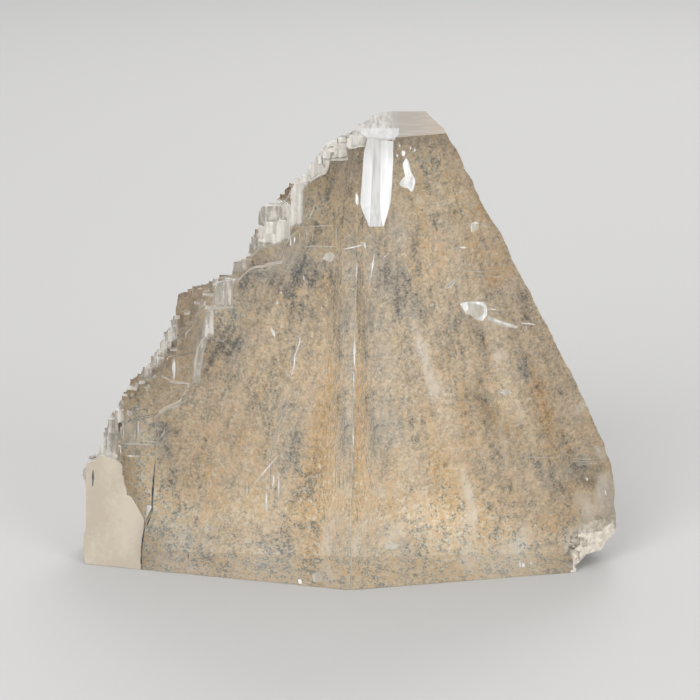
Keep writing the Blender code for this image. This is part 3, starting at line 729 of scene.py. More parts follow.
class Net:
    """A small helper that adds shader nodes and joins them."""

    def __init__(self, name):
        self.mat = bpy.data.materials.new(name)
        self.mat.use_nodes = True
        self.nt = self.mat.node_tree
        self.p = self.nt.nodes["Principled BSDF"]

    def add(self, kind, **values):
        n = self.nt.nodes.new("ShaderNode" + kind)
        for k, v in values.items():
            setattr(n, k, v)
        return n

    def feed(self, socket, value):
        if hasattr(value, "links"):
            self.nt.links.new(value, socket)
        elif hasattr(socket.default_value, "__len__") and not hasattr(value, "__len__"):
            socket.default_value = (value,) * len(socket.default_value)
        elif hasattr(value, "__len__") and len(socket.default_value) == 4 and len(value) == 3:
            socket.default_value = (*value, 1)
        else:
            socket.default_value = value

    def fed(self, kind, *values, **settings):
        """A new node with these values or links on its first sockets; gives its first output."""
        n = self.add(kind, **settings)
        for socket, value in zip(n.inputs, values):
            self.feed(socket, value)
        return n.outputs[0]

    def math(self, op, *values):
        return self.fed("Math", *values, operation=op)

    def sum(self, first, *others):
        for other in others:
            first = self.math("ADD", first, other)
        return first

    def off(self, value, k):
        """How far a noise is off its middle value, times k."""
        return self.math("MULTIPLY", self.math("SUBTRACT", value, 0.5), k)

    def ramp(self, x, low, high, to_low=0.0, to_high=1.0):
        return self.fed("MapRange", x, low, high, to_low, to_high, interpolation_type="SMOOTHSTEP")

    def mix(self, fac, a, b, blend="MIX"):
        n = self.add("Mix", data_type="RGBA", blend_type=blend)
        for socket, value in ((n.inputs[0], fac), (n.inputs[6], a), (n.inputs[7], b)):
            self.feed(socket, value)
        return n.outputs[2]

    def tint(self, base, colour, x, low, high, most=1.0, blend="MIX"):
        """Puts a colour over base, more of it as x goes from low to high."""
        return self.mix(self.ramp(x, low, high, 0, most), base, colour, blend)

    def attr(self, name, output="Fac"):
        return self.add("Attribute", attribute_name=name).outputs[output]

    def at(self):
        """Where a point is, in metres."""
        return self.add("TexCoord").outputs["Object"]

    def split(self, vector):
        n = self.add("SeparateXYZ")
        self.feed(n.inputs[0], vector)
        return n.outputs

    def noise(self, vector, scale, detail=2.0, rough=0.5, distort=0.0, stretch=None, shift=(0, 0, 0)):
        if stretch:
            m = self.add("Mapping")
            self.feed(m.inputs["Vector"], vector)
            m.inputs["Scale"].default_value = stretch
            m.inputs["Location"].default_value = shift
            vector = m.outputs[0]
        n = self.add("TexNoise")
        self.feed(n.inputs["Vector"], vector)
        for k, v in (("Scale", scale), ("Detail", detail), ("Roughness", rough), ("Distortion", distort)):
            n.inputs[k].default_value = v
        return n.outputs["Fac"]

    def bump(self, height, strength, distance):
        n = self.add("Bump")
        for k, v in (("Strength", strength), ("Distance", distance), ("Height", height)):
            self.feed(n.inputs[k], v)
        return n.outputs[0]

    def set(self, **values):
        for k, v in values.items():
            self.feed(self.p.inputs[k.replace("_", " ")], v)
        return self.mat


def film_material():
    """Clay: tan, with orange and grey areas and pale grains, and dark flecks, painted shade for the dark
    seen through gaps in the clay.
    """
    n = Net("clay_film")
    place = n.attr("place", "Vector")
    dark, warm, grey = n.split(n.attr("tone", "Vector"))
    pale, lift = n.attr("pale"), n.attr("lift")
    raised = n.math("MAXIMUM", lift, 0.0)
    vigour = n.math("ADD", raised, 0.95)

    # streaks that fan out downwards from above the top
    u, w, _ = n.split(place)
    fan = n.math("DIVIDE", n.math("SUBTRACT", u, APEX[0] * MM), n.math("SUBTRACT", APEX[1] * MM, w))
    fanned = n.fed("CombineXYZ", n.math("MULTIPLY", fan, 0.08), n.math("MULTIPLY", w, 0.09))
    streak = n.noise(fanned, 800, 3, 0.6)
    streak_two = n.noise(fanned, 600, 3, 0.6, stretch=(1, 1, 1), shift=(0.3, 0.1, 0))

    broad = n.noise(place, 170)
    mottle = n.noise(place, 400, 2, 0.6, 0.6, (1.1, 0.7, 1))
    fleck = n.noise(place, 820, 2, 0.65, 0.8, (1.1, 0.85, 1))
    grit = n.noise(place, 1900, 1, 0.6)
    ember_at = n.noise(place, 1000, 2, 0.65, 0.6, (1, 0.8, -1))
    rust = n.noise(place, 480, 3, 0.65, 0.5, (1, 0.6, 1), (0.2, 0, 0))
    swirl = n.noise(place, 430, 2, 0.6, 2.2)
    speck = n.noise(place, 1200, 2, 0.65)

    base = n.tint(TAN_LOW, TAN_HIGH, n.sum(n.off(rust, 0.9), n.off(speck, 1.3)), -0.2, 0.2)
    base = n.tint(base, ORANGE, n.sum(warm, n.off(rust, 2.4), n.off(streak_two, 1.6)), -0.1, 1.3)
    ember = n.sum(n.math("MULTIPLY", warm, 0.5), n.off(ember_at, 3.5))
    base = n.tint(base, EMBER, ember, 0.35, 1.2, 0.75)
    base = n.tint(base, HAZE, n.sum(grey, n.off(mottle, 1.4)), 0.0, 1.2, 0.75)
    base = n.tint(base, PALE_CLAY, n.sum(pale, n.off(broad, 0.6), n.off(streak, 1.2)), 0.1, 1.0, 0.8)

    # fine pale grains and threads through the clay
    grain = n.off(n.noise(place, 900, 3, 0.65, 0.8, (1, 0.9, 1), (0.1, 0.3, 0)), 4.2)
    grain = n.math("SUBTRACT", n.math("MULTIPLY", grain, vigour), n.math("MULTIPLY", dark, 0.4))
    base = n.tint(base, CREAM, grain, 0.05, 0.9, 0.85)
    thread = n.math("ABSOLUTE", n.math("SUBTRACT", swirl, 0.5))
    base = n.mix(n.ramp(thread, 0.0, 0.025, 0.35, 0.0), base, PALE_CLAY)

    # dark flecks, crowding where the film is thin: painted shade for the dark seen through gaps in the
    # clay
    spread = n.sum(n.off(mottle, 2.0), n.off(fleck, 2.5), n.off(grit, 2.2))
    dark = n.math("MULTIPLY", dark, n.sum(n.off(streak_two, 2.4), 1.0))
    level = n.math("MULTIPLY_ADD", dark, 0.95, n.math("MULTIPLY", spread, vigour))
    level = n.sum(n.math("MULTIPLY_ADD", pale, -0.45, level), n.off(streak, 1.8))
    gap_shade = n.tint(GAP_SHADE, GAP_SHADE_BLUE, lift, 0.3, 1.0)
    base = n.tint(base, gap_shade, level, -0.45, 1.35, blend="MULTIPLY")
    base = n.tint(base, GAP_SHADE_DEEP, level, 0.6, 1.6, blend="MULTIPLY")

    # lifted places are lighter and richer; the underside is lifted more and multiplied by a lighter
    # colour, painted light that makes up for the shade it sits in
    base = n.fed("Gamma", base, n.math("MULTIPLY_ADD", lift, -0.38, 1.0))
    rich = n.add("HueSaturation")
    n.feed(rich.inputs["Color"], base)
    for name, k in (("Value", 0.1), ("Saturation", 0.28)):
        n.feed(rich.inputs[name], n.math("MULTIPLY_ADD", raised, k, 1.0))
    even = n.mix(n.attr("under"), SIDE_EVEN, UNDER_PAINTED_LIGHT)
    even = n.mix(1.0, rich.outputs[0], even, "MULTIPLY")
    return n.set(Base_Color=even, Roughness=0.75, Specular_IOR_Level=0.2)


def clear_spar():
    return Net("spar_front").set(Base_Color=(1, 1, 1), Roughness=0.02, IOR=IOR, Transmission_Weight=1.0)


def frosted_spar(name, colour, least=0.0, most=0.9, lines=(1, 1, 0.12), uneven=0.75):
    """Clear spar that is frosted where its fine fractures crowd, in upright lines."""
    n = Net(name)
    line = n.noise(n.at(), 900, 3, 0.6, stretch=lines)
    spot = n.noise(n.at(), 500, 3, 0.6)
    level = n.sum(n.attr("frost"), n.off(line, uneven), n.off(spot, 0.5 * uneven))
    f = n.ramp(level, 0.15, 0.9, least, most)
    streaked = n.tint([k * 0.84 for k in colour], [k * 1.16 for k in colour], line, 0.4, 0.62)
    return n.set(
        Base_Color=n.tint((0.98, 0.97, 0.95), streaked, f, 0, 0.3),
        Roughness=n.math("MULTIPLY_ADD", f, 0.35, 0.04),
        IOR=IOR,
        Transmission_Weight=n.math("SUBTRACT", 1.0, f),
        Normal=n.bump(n.math("MULTIPLY", f, n.sum(line, spot)), 0.5, 0.00035),
    )


def mottled(name, low, high, stretch=(1, 1, 0.3), clear=0.0):
    """A plain surface that varies between two colours."""
    n = Net(name)
    colour = n.tint(low, high, n.noise(n.at(), 900, 3, 0.6, stretch=stretch), 0.35, 0.65)
    return n.set(Base_Color=colour, Roughness=0.5, Transmission_Weight=clear)


def flute_spar():
    """The notch's side walls: bright, and quieter towards the top."""
    n = Net("flute")
    grain = n.ramp(n.noise(n.at(), 800, 3, 0.6, stretch=UPRIGHT), 0.35, 0.65)
    bright = n.mix(grain, (0.45, 0.45, 0.44), (0.54, 0.54, 0.53))
    quiet = n.mix(grain, (0.33, 0.325, 0.313), (0.44, 0.435, 0.42))
    return n.set(Base_Color=n.tint(bright, quiet, n.split(n.at())[2], 0.0975, 0.103), Roughness=0.5)


def foot_spar():
    """The smooth sloping facet at the lower left: milky, with a soft mottle."""
    n = Net("spar_foot")
    soft = n.noise(n.at(), 110, stretch=(1, 1, 0.6))
    mixed = n.sum(soft, n.off(n.noise(n.at(), 900, 2, 0.6), 0.35))
    colour = n.tint((0.283, 0.236, 0.175), (0.343, 0.295, 0.226), mixed, 0.36, 0.64)
    return n.set(Base_Color=colour, Roughness=0.5, IOR=IOR, Transmission_Weight=0.12)


def cap_spar():
    """The cleaved top: milky and streaked at the left, honey-tinted and smoother to the right."""
    n = Net("spar_cap")
    x = n.split(n.at())[0]
    right = n.ramp(x, 0.0075, 0.0125)
    run = n.noise(n.at(), 1100, 3, 0.65, stretch=(1, 0.08, 1))
    cross = n.noise(n.at(), 900, 3, 0.6, stretch=(0.2, 1, 1))
    left_tint = n.tint((0.17, 0.155, 0.13), (0.38, 0.36, 0.325), run, 0.35, 0.68)
    right_tint = n.tint((0.14, 0.112, 0.075), (0.19, 0.13, 0.068), x, 0.014, 0.022)
    right_tint = n.tint(right_tint, (0.27, 0.25, 0.21), cross, 0.5, 0.75, 0.5)
    return n.set(
        Base_Color=n.mix(right, left_tint, right_tint),
        Roughness=0.45,
        IOR=IOR,
        Specular_IOR_Level=0.3,
        Transmission_Weight=0.2,
        Normal=n.bump(n.mix(right, run, cross), 0.35, 0.0002),
    )


mats = {
    CLEAR: clear_spar(),
    STEP: frosted_spar("spar_step", (0.39, 0.368, 0.33)),
    # the side walls are frosted more and tinted lighter than the steps: the lighter tint is painted
    # light, making up for the shade on faces turned away from the front
    WALL: frosted_spar("spar_wall_painted_light", (0.52, 0.49, 0.44), 0.7),
    FILM: film_material(),
    CAP: cap_spar(),
    FOOTING: foot_spar(),
    BROKEN: frosted_spar("spar_broken", (0.43, 0.39, 0.325), 0.0, 0.95, (1, 1, 1), 0.25),
    FLUTE: flute_spar(),
    FLOOR: mottled("flute_floor", (0.288, 0.283, 0.273), (0.395, 0.39, 0.378), UPRIGHT),
}
mats[BASE] = mats[FILM]
for kind in sorted(mats):
    block.data.materials.append(mats[kind])
block.name = "spar"
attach(block, "root")
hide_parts("calcite")

# ---------------------------------------------------------------- flaws let into the faces
# Thin bright, pale or dark cracks and ledges: width, then points (x, z) along each. The bright ones are
# partly white cracks and partly painted highlights, light caught along ledge edges and small glints; the
# dark ones are painted shade in cracks.
WHITE_LINES_AND_GLINTS = [
    (0.6, [(1.9, 59.1), (1.8, 55.8), (1.8, 52.6)]), (0.55, [(1.8, 51.9), (1.7, 48.7), (1.6, 46.6)]),
    (0.37, [(1.5, 37.7), (1.4, 32.6)]), (0.33, [(2.3, 76.5), (2.2, 72.4)]), (0.35, [(6.3, 79),
    (5.9, 75.6), (5.2, 71.3)]), (0.28, [(9.4, 78), (8.8, 77.5), (8.2, 77)]), (0.35, [(-0.6, 79.3),
    (0.8, 79.6), (2.3, 80), (4.1, 80.5)]), (0.47, [(3.2, 80.8), (4, 80.7), (4.2, 79.4)]),
    (0.42, [(-11.2, 58.5), (-10.7, 57.7), (-11.2, 55.6), (-11.9, 54.3), (-12.1, 51.3), (-12.9, 49.6)]),
    (0.34, [(-15.8, 30.3), (-18.8, 26.6), (-21.4, 23.2)]), (0.38, [(-17, 26.1), (-17.1, 22.3)]),
    (0.38, [(-15.7, 26.2), (-15.8, 22.9), (-15.8, 19.8)]), (0.34, [(-18.7, 21.9), (-18.7, 19.5),
    (-18.7, 16.7)]), (0.33, [(-9.8, 72.6), (-9.8, 72), (-9.6, 71.4)]), (0.56, [(28.6, 82), (28.5, 83.2),
    (28.6, 83.8), (29.3, 84.1), (30.2, 83.9)]), (0.37, [(25.6, 78.6), (26.4, 78.6), (27.3, 78.5)]),
    (0.47, [(32.8, 62), (34.6, 61.1), (36.7, 60.3), (39.3, 59.4)]), (0.37, [(40.3, 60.3), (41.7, 60.1),
    (43.6, 59.8)]), (0.28, [(41.4, 59.8), (41.7, 58.6)]), (0.3, [(33, 64), (34.4, 63.7)]),
    (0.42, [(35.3, 44.4), (36, 44.2), (36.5, 44)]), (0.33, [(37.4, 44), (38.1, 43.8)]),
    (0.3, [(42.1, 42.6), (42.8, 42.2)]), (0.37, [(60.9, 19.1), (61.2, 17.7)]), (0.28, [(37.5, 33.2),
    (37.9, 32.9)]), (0.3, [(40.3, 25.6), (40.5, 25.2)]), (0.3, [(49.5, 13), (49.9, 13.5)]),
    (0.3, [(50.3, 12.9), (50.4, 13.4)]), (0.8, [(-40.6, 50.3), (-40.6, 47.2), (-40.6, 44.5)]),
    (0.47, [(-41.9, 50.5), (-42.7, 48), (-43.3, 46.8), (-43.7, 46)]), (0.56, [(-43.8, 45.9),
    (-43.6, 45.9)]), (0.52, [(-47.4, 44.1), (-46.8, 43.5)]), (0.61, [(-49.4, 34.5), (-49.5, 31.9),
    (-49.5, 29.5)]), (0.42, [(-54.6, 27.3), (-54.1, 27.4), (-53.8, 26.4)]), (0.47, [(-53.6, 27.9),
    (-53.6, 26.5)]), (0.52, [(-51.8, 26.2), (-51.2, 26.2), (-50.8, 26.3)]), (0.42, [(-50, 26.2),
    (-49.4, 26.2)]), (0.61, [(-47.3, 13.4), (-47.4, 12.1)]), (0.56, [(-46.2, 14.5), (-46.3, 13.1)]),
    (0.52, [(-12.8, 81), (-12.8, 79.2)]), (0.37, [(-10.8, 82.3), (-10.7, 81.4)]), (0.37, [(-11.8, 82.1),
    (-11.9, 79.9)]),
]
PALE_LINES = [
    (0.37, [(2.4, 79.4), (2.2, 73.5), (2, 65.5), (1.9, 57), (1.8, 51.2), (1.6, 42.4), (1.3, 30),
    (1.1, 19), (0.9, 9.5), (0.8, 0.5)]), (0.28, [(-12.9, 49.6), (-12.8, 44.7), (-14.5, 40.6),
    (-16.4, 36.2), (-17.6, 30.3), (-17.8, 22)]), (0.28, [(-12.1, 54.1), (-13.3, 52.4), (-13.1, 50.5)]),
    (0.23, [(-2.6, 28), (-2.7, 23.6)]), (0.23, [(-1.7, 27.7), (-1.7, 23.9)]), (0.26, [(-0.7, 28.2),
    (-0.9, 23.5)]), (0.21, [(0.1, 27.3), (0, 24.5)]), (0.21, [(-23.7, 23.8), (-23.7, 20.2)]),
    (0.21, [(-22.8, 23.7), (-22.8, 20.1)]), (0.21, [(-32.6, 56.4), (-30.7, 56.4), (-28.9, 56.5)]),
    (0.21, [(-31.2, 56), (-28.2, 56.1)]), (0.21, [(-13.5, 70.4), (-11.2, 70.6)]), (0.21, [(-9.5, 76.2),
    (-7.2, 76.3)]), (0.19, [(-10, 75.6), (-7.9, 75.7)]), (0.28, [(30.2, 83.9), (31.4, 83.5),
    (32.3, 83.4)]), (0.42, [(29.9, 83.8), (29.9, 82.2)]), (0.26, [(33.1, 73), (33.1, 71.6)]),
    (0.23, [(33.1, 71.6), (34.8, 71.4), (36.1, 71.5), (36.3, 72.6)]), (0.23, [(28.5, 72.2), (30.6, 71.8),
    (33.1, 71.6)]), (0.26, [(24.8, 71.2), (23.9, 70.3), (22.7, 69.5)]), (0.23, [(25, 70.5),
    (24.1, 69.4)]), (0.21, [(24.8, 73.4), (30.6, 72.8), (36.1, 72.9)]), (0.19, [(28.5, 44.9),
    (32, 44.9)]), (0.21, [(44, 42.5), (47.1, 42.1)]), (0.21, [(44.9, 48.1), (46.1, 47.3), (47.3, 46.3)]),
    (0.19, [(44.2, 48.6), (45.1, 47.4)]), (0.21, [(52.8, 27.4), (55.7, 27.1), (59.5, 26.9)]),
    (0.19, [(53.5, 26.7), (59.1, 26.2)]), (0.21, [(54.7, 26), (58.8, 25.8)]), (0.21, [(40.4, 28.7),
    (46.3, 28.2), (49.9, 28)]), (0.23, [(43.4, 35.4), (44.1, 35.7), (45.1, 35.4)]), (0.23, [(45.6, 14.9),
    (46.5, 15.6)]), (0.3, [(-39.3, 50.6), (-37.7, 51.1), (-35.5, 53)]), (0.37, [(-41.9, 50.6),
    (-40.9, 50.9), (-39.7, 51.1)]), (0.28, [(-39.8, 50.4), (-39.8, 47.3), (-39.9, 44.5)]),
    (0.37, [(-43.7, 46), (-45.6, 45.5), (-47.4, 43.8)]), (0.19, [(-39.8, 49.8), (-38.2, 48.4),
    (-36, 48.3)]), (0.28, [(-43, 44.4), (-40.6, 44.3), (-38.9, 44.4), (-36.9, 44.5)]),
    (0.61, [(-32.9, 56.7), (-33.8, 55.9), (-34.5, 54.2), (-34.9, 52.3), (-35.2, 49.9), (-35.7, 45.5)]),
    (0.28, [(-32.3, 56.7), (-33.2, 53.4), (-33.7, 50.1), (-34.1, 46.7)]), (0.3, [(-36.2, 44.9), (-37, 43),
    (-37.6, 41.4), (-39.4, 40.1), (-41.8, 38.9), (-43, 38), (-43.6, 37.7), (-45.7, 35.8), (-47.7, 35.4),
    (-49.4, 34.9)]), (0.26, [(-39.3, 39.1), (-39.7, 38), (-40.5, 37.5)]), (0.28, [(-44.9, 36),
    (-45, 33.4), (-44.8, 31.7), (-44, 31.9), (-43.3, 32.6), (-42.2, 34.1)]), (0.26, [(-44, 31.9),
    (-44.5, 30.8), (-44.5, 29.8)]), (0.21, [(-42.6, 35.4), (-42.9, 33.3), (-42.6, 31.7)]),
    (0.35, [(-54.9, 27.8), (-53.2, 29), (-49.7, 29.2), (-47.4, 29.2), (-45.3, 29.2)]),
    (0.42, [(-52.8, 39), (-52.9, 34.7), (-52.8, 29.6)]), (0.23, [(-53.7, 32.4), (-53.5, 29.4)]),
    (0.28, [(-51.6, 32.2), (-51.6, 29.5)]), (0.23, [(-50.2, 34.6), (-50.3, 31.5), (-50.6, 29.4)]),
    (0.23, [(-53.6, 26.3), (-49.9, 26.2), (-45.1, 27.3)]), (0.28, [(-36.1, 67.3), (-36.1, 64.8),
    (-35.5, 64.5), (-35.1, 63.7), (-34.6, 62.8)]), (0.23, [(-38.2, 65.3), (-37.6, 64.7)]),
    (0.4, [(-35.2, 66.1), (-34.1, 65.1), (-33.8, 64.1), (-34.1, 63.6), (-34.4, 61.4), (-35.2, 60.8),
    (-35.9, 59.4), (-36.6, 57.4), (-37.4, 56.6), (-37.8, 55.4)]), (0.4, [(-31.8, 67.8), (-32.5, 66.5),
    (-32.8, 64.3), (-33.3, 63.3), (-34, 62.2)]), (0.3, [(-30.7, 66.5), (-31.1, 65.1), (-31.9, 64.4)]),
    (0.28, [(-38, 58.9), (-38, 57.8), (-39.1, 55.9)]), (0.23, [(-39.5, 64.9), (-38.9, 63.6),
    (-39.4, 61.3)]), (0.23, [(-37.7, 67.2), (-37.2, 66.5), (-37.5, 65.3)]), (0.3, [(-24.8, 72),
    (-21.7, 72.9), (-18.1, 73.3), (-16.4, 74.3)]), (0.33, [(-18.8, 77.8), (-16.2, 79), (-12.9, 80.3)]),
    (0.35, [(-7, 89.3), (-7.7, 87.4), (-8.5, 85.8), (-9.1, 84.2)]), (0.23, [(-9.6, 83.8), (-9.6, 81.7),
    (-9.7, 79.8)]), (0.23, [(-9, 83.8), (-9.1, 80.5)]), (0.26, [(-7.4, 84.1), (-7.8, 81.8), (-8, 79.9)]),
    (0.37, [(-2.3, 84.4), (-2.4, 82.1), (-2.5, 79.7)]), (0.21, [(-4.9, 84.2), (-5, 82.6)]),
    (0.26, [(-9.9, 83.8), (-6.5, 84.1), (-2.7, 84.5)]), (0.23, [(-9.5, 79.3), (-6.1, 79.4),
    (-2.3, 79.6)]), (0.33, [(2.7, 92.4), (2.3, 90.8), (2.6, 89)]), (0.23, [(5.8, 84.4), (8.9, 84.1)]),
    (0.28, [(-10, 83.8), (-10, 88.4), (-9.8, 91.4)]),
]
# Dark seams: painted shade, near-black strips let into cracks where shade falls.
SHADED_CRACK_LINES = [
    (0.47, [(-45.2, 25.7), (-45.5, 21.7), (-45.8, 18.5), (-46, 14.9)]), (0.37, [(-46.3, 13), (-47.6, 9.9),
    (-47.8, 10.8), (-47.9, 10), (-48.3, 7.5), (-48.7, 4.7), (-48.8, 2.4), (-48.8, 0.5)]),
    (0.56, [(-60.5, 21.7), (-60.5, 19.9), (-60.6, 18)]), (0.28, [(-37.3, 5.3), (-37.4, 3.4)]),
]
# Small hollows, made as flat plates whose dark colour is painted shade: middle (x, z) and half sizes.
SHADED_HOLES = [
    (-49.8, 42.5, 0.37, 0.58), (-50.6, 41, 0.28, 0.43), (-46.9, 42.6, 0.28, 0.63),
    (-51.5, 36.5, 0.52, 0.77), (-3.1, 100.1, 0.35, 0.45), (-5.1, 97.3, 0.28, 0.5),
]
# Half-clear bruises in the face.
HAZES = [
    [(26, 65.9), (28.6, 66.1), (31.6, 65.7), (32.3, 64.5), (32.2, 62.4), (31.3, 61.4), (29.6, 61.7),
        (28.4, 62.9), (27.2, 63.4)],
    [(32.4, 62.3), (34.6, 61.6), (37, 60.6), (39.6, 59.6), (39.4, 59.1), (36.4, 59.6), (33.6, 60.8),
        (32.5, 61.4)],
    [(-5.6, 76.7), (-4.5, 78.1), (-3.1, 78.2), (-2.7, 77.5), (-3.1, 76.5), (-3.8, 76.1)],
    [(28.3, 84), (29.5, 84.4), (29.7, 82.6), (28.9, 82)],
    [(-8, 2.8), (-6.6, 3.8), (-5.8, 3.1), (-5.9, 1.3), (-7.2, 1), (-7.9, 1.3)],
    [(8.5, 9.8), (10.6, 10.4), (12.4, 9.9), (11.4, 9), (9, 9)],
    [(36, 44.9), (37.4, 44.8), (38.4, 44), (36.4, 43.5)],
    [(23, 70.3), (24.4, 71.3), (25.2, 71), (23.9, 69.6), (22.8, 69.2)],
]
CHIPS = [
    [(13.4, 99.6), (14.1, 98.6), (14.4, 96.8), (15.5, 94.7), (15.5, 93.8), (15.1, 92.3), (14.6, 91.8),
        (13.9, 92.8), (12.8, 92.9), (11.8, 93.8), (12.5, 94.8), (13.2, 95.5), (12.9, 96.9), (12.7, 98.3)],
    [(12.5, 101.4), (13.3, 100.9), (13, 100), (12.4, 100.3)],
    [(11.1, 100.6), (11.7, 100.3), (11.4, 99.7)],
    [(14.3, 102.1), (14.6, 101.8), (14.3, 101.3)],
    [(15.3, 101.7), (15.7, 101.3), (15.2, 100.8)],
    [(11.6, 103.4), (12.2, 102.3), (11.9, 102)],
    [(26, 65.5), (27.1, 66), (28.3, 65.9), (27.8, 65.3), (28, 64.4), (27.3, 63.7), (26.6, 64.6)],
    [(28.3, 65.9), (30.2, 65.9), (31.7, 65.5), (32.3, 64.3), (32.3, 62.6), (31.4, 61.4), (30.2, 61.6),
        (30.7, 62.4), (31.6, 62.9), (31.7, 64.5), (30.6, 65.1)],
    [(-17.4, 60.1), (-16.8, 59.6), (-16.4, 58.4), (-16.6, 57.9), (-17.2, 58.8)],
    [(-16, 66.4), (-15.6, 66.2), (-15.8, 65.5), (-16.2, 65.7)],
    [(-15.1, 68.7), (-14.8, 68.3), (-15.1, 68)],
    [(-19.3, 60), (-18.9, 59.9), (-19.1, 59.5)],
    [(40.5, 3.9), (40.9, 3.6), (41, 2.3), (40.5, 2.3)],
    [(41.3, 3.3), (41.8, 2.9), (41.8, 2.1), (41.2, 2.3)],
    [(43.1, 3.4), (43.5, 3.3), (43.4, 2.3)],
    [(44.3, 2.7), (44.6, 2.6), (44.4, 2)],
    [(-11.4, 1.3), (-10.7, 1.5), (-10.4, 0.5), (-11.1, 0.2)],
    [(56.1, 22.6), (56.7, 22.4), (56.6, 21.8)],
    [(2.1, 92.1), (2.6, 91.5), (2.7, 89.9), (2.3, 89.2), (2, 90.5)],
    [(-47.5, 14.7), (-46.3, 14.8), (-46.2, 13.2), (-47.4, 13.1)],
]
# The milky strip on the cap at the head of the notch, (x, y) from above.
BAR = [(4.4, -10.6), (3.2, -8.2), (3.0, -4.9), (11.9, -4.9), (11.7, -9.2), (10.9, -11.2)]
PROUD = 0.07  # how far a flaw stands out of its face
SEAM_SUNK, PLATE_SUNK = 0.3, 0.35


def drape(x, z):
    """How far back the block's outer face lies at (x, z)."""
    hit = skin.ray_cast(Vector((x, -80, z)) * MM, Vector((0, 1, 0)))[0]
    return hit.y / MM if hit else None


def ribbon(bm, points, width, rng):
    """Thin closed seams along a line, tapering to the ends, broken where the face steps."""
    line = []
    for a, b in zip(points, points[1:]):
        n = max(1, round(hypot(b[0] - a[0], b[1] - a[1]) / 0.7))
        line += [(a[0] + (b[0] - a[0]) * k / n, a[1] + (b[1] - a[1]) * k / n) for k in range(n)]
    line.append(points[-1])
    runs, before = [[]], None
    for x, z in line:
        hit = drape(x, z)
        if hit is None:
            runs.append([])
            continue
        depth = hit - face_y(x, z)
        if before is not None and abs(depth - before) > 0.4:
            runs.append([])
        runs[-1].append((x, z))
        before = depth
    for run in runs:
        if len(run) > 1:
            seam(bm, run, width, rng)


def seam(bm, line, width, rng):
    """One seam: a ring of four points at each place on the line, joined to the last."""
    last, total = None, len(line) - 1
    for i, (x, z) in enumerate(line):
        ax, az = line[max(0, i - 1)]
        bx, bz = line[min(total, i + 1)]
        size = hypot(bx - ax, bz - az) or 1
        nx, nz = (bz - az) / size, -(bx - ax) / size
        half = width / 2 * min(1, 0.3 + 1.6 * min(i, total - i) / max(total, 3)) * rng.uniform(0.7, 1.2)
        y = drape(x, z)
        slope = (face_y(x + 0.5, z) - face_y(x - 0.5, z)) * nx * half
        left = (x - nx * half, y - slope - 0.02, z - nz * half)
        right = (x + nx * half, y + slope - 0.02, z + nz * half)
        ring = ring_of(bm, [left, (x, y - PROUD, z), right, (x, y + SEAM_SUNK, z)])
        if last:
            for k in range(4):
                bm.faces.new((last[k], ring[k], ring[k - 3], last[k - 3]))
        else:
            bm.faces.new(ring)
        last = ring
    bm.faces.new(last[::-1])


def plate(bm, outline, proud):
    """A thin closed piece with this outline, let into the face."""
    cx, cz = (sum(c) / len(outline) for c in zip(*outline))
    hit = drape(cx, cz)
    if hit is None:
        return
    base = hit - face_y(cx, cz)
    rings = []
    for more in (-proud, PLATE_SUNK):
        rings.append(ring_of(bm, [(x, base + face_y(x, z) + more, z) for x, z in outline]))
    join_rings(bm, *rings)


def flaw(name, bm, mat):
    ob = mesh_object(name, bm)
    ob.data.materials.append(mat)
    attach(ob, "root")


def seams(name, table, mat, rng):
    bm = bmesh.new()
    for width, points in table:
        ribbon(bm, points, width, rng)
    flaw(name, bm, mat)


def plates(name, outlines, mat, proud=PROUD):
    bm = bmesh.new()
    for outline in outlines:
        plate(bm, outline, proud)
    flaw(name, bm, mat)


def notch_head():
    """The milky strip, a thin plate let into the cap."""
    bm = bmesh.new()
    cap = [(x, y, CAP_POINT[2] + (y - CAP_POINT[1]) * -CAP_NORMAL[1]) for x, y in BAR]
    near, far = (ring_of(bm, [(x, y, z + k) for x, y, z in cap]) for k in (0.05, -0.4))
    join_rings(bm, near, far)
    flaw("notch_head", bm, mottled("notch_top", (0.29, 0.282, 0.268), (0.37, 0.362, 0.348), (1, 0.1, 1)))


def oval(x, z, rx, rz):
    return [(x + rx * cos(k * pi / 4), z + rz * sin(k * pi / 4)) for k in range(8)]
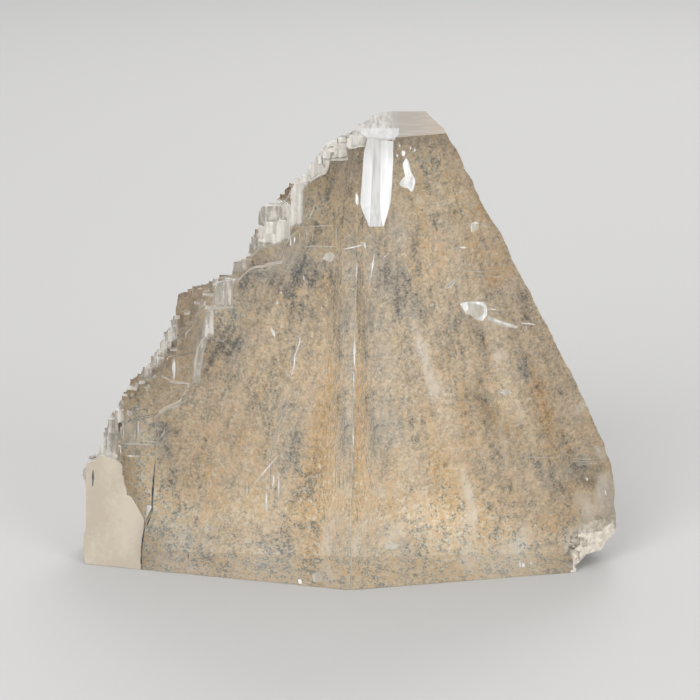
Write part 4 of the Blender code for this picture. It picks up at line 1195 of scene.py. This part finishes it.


# white flaws: the chips' real white fractures, and in the seams partly painted highlights along ledge
# edges
white_flaw_and_glint = mottled("white_flaw_and_glint", (0.35, 0.34, 0.32), (0.55, 0.54, 0.52))
pale_flaw = mottled("pale_flaw", (0.20, 0.18, 0.145), (0.32, 0.30, 0.255))
# painted shade: near-black, for the shade in cracks
crack_shade = mottled("crack_shade", (0.015, 0.018, 0.022), (0.05, 0.06, 0.075))
rng = random.Random(5)
seams("white_seams_and_glints", WHITE_LINES_AND_GLINTS, white_flaw_and_glint, rng)
seams("pale_seams", PALE_LINES, pale_flaw, rng)
seams("crack_shade_seams", SHADED_CRACK_LINES, crack_shade, rng)
plates("hazes", HAZES, mottled("hazed_flaw", (0.47, 0.43, 0.36), (0.66, 0.63, 0.57), clear=0.6), 0.04)
plates("chips", CHIPS, white_flaw_and_glint)
notch_head()
# the hollows are flat plates; their dark colour is painted shade
shaded_hollows = [oval(*hole) for hole in SHADED_HOLES]
plates("shaded_hollows", shaded_hollows, mottled("hollow_shade", (0.17, 0.15, 0.12), (0.28, 0.255, 0.215)), 0.05)

# ---------------------------------------------------------------- the studio
LOOK_AT = Vector((*SHIFT, 52.2)) * MM
CAMERA_PITCH, CAMERA_AWAY = radians(15), 0.61
SENSOR = 36
FOCAL_PIXELS, PHOTO_PIXELS = 2605, 700

scene = bpy.context.scene
world = bpy.data.worlds.new("studio")
scene.world = world
world.use_nodes = True
world.node_tree.nodes["Background"].inputs["Color"].default_value = (0.95, 0.965, 1.0, 1)
world.node_tree.nodes["Background"].inputs["Strength"].default_value = 0.88
bpy.ops.mesh.primitive_plane_add(size=6)
floor = bpy.context.object
floor.name = "floor"
floor.location.z = -0.0001
floor.data.materials.append(Net("floor_paper").set(Base_Color=(0.42, 0.413, 0.40), Roughness=0.9))


def lamp(name, place, size, power):
    data = bpy.data.lights.new(name, "AREA")
    data.shape, data.size, data.energy = "DISK", size, power
    ob = bpy.data.objects.new(name, data)
    scene.collection.objects.link(ob)
    ob.location = place
    ob.rotation_euler = (Vector((0, 0, 0.05)) - Vector(place)).to_track_quat("-Z", "Y").to_euler()


lamp("key", (-0.6, -1.3, 0.8), 0.9, 24)
lamp("fill", (0.9, -1.1, 0.5), 0.9, 10.4)
lamp("back", (0.2, 0.9, 0.9), 0.7, 5.8)

cam_data = bpy.data.cameras.new("camera")
cam = bpy.data.objects.new("camera", cam_data)
scene.collection.objects.link(cam)
cam.location = LOOK_AT + Vector((0, -cos(CAMERA_PITCH), sin(CAMERA_PITCH))) * CAMERA_AWAY
cam.rotation_euler = (pi / 2 - CAMERA_PITCH, 0, 0)
cam_data.sensor_width = SENSOR
cam_data.lens = FOCAL_PIXELS / PHOTO_PIXELS * SENSOR
cam_data.clip_start, cam_data.clip_end = 0.01, 20
scene.camera = cam
scene.view_settings.view_transform = "Standard"
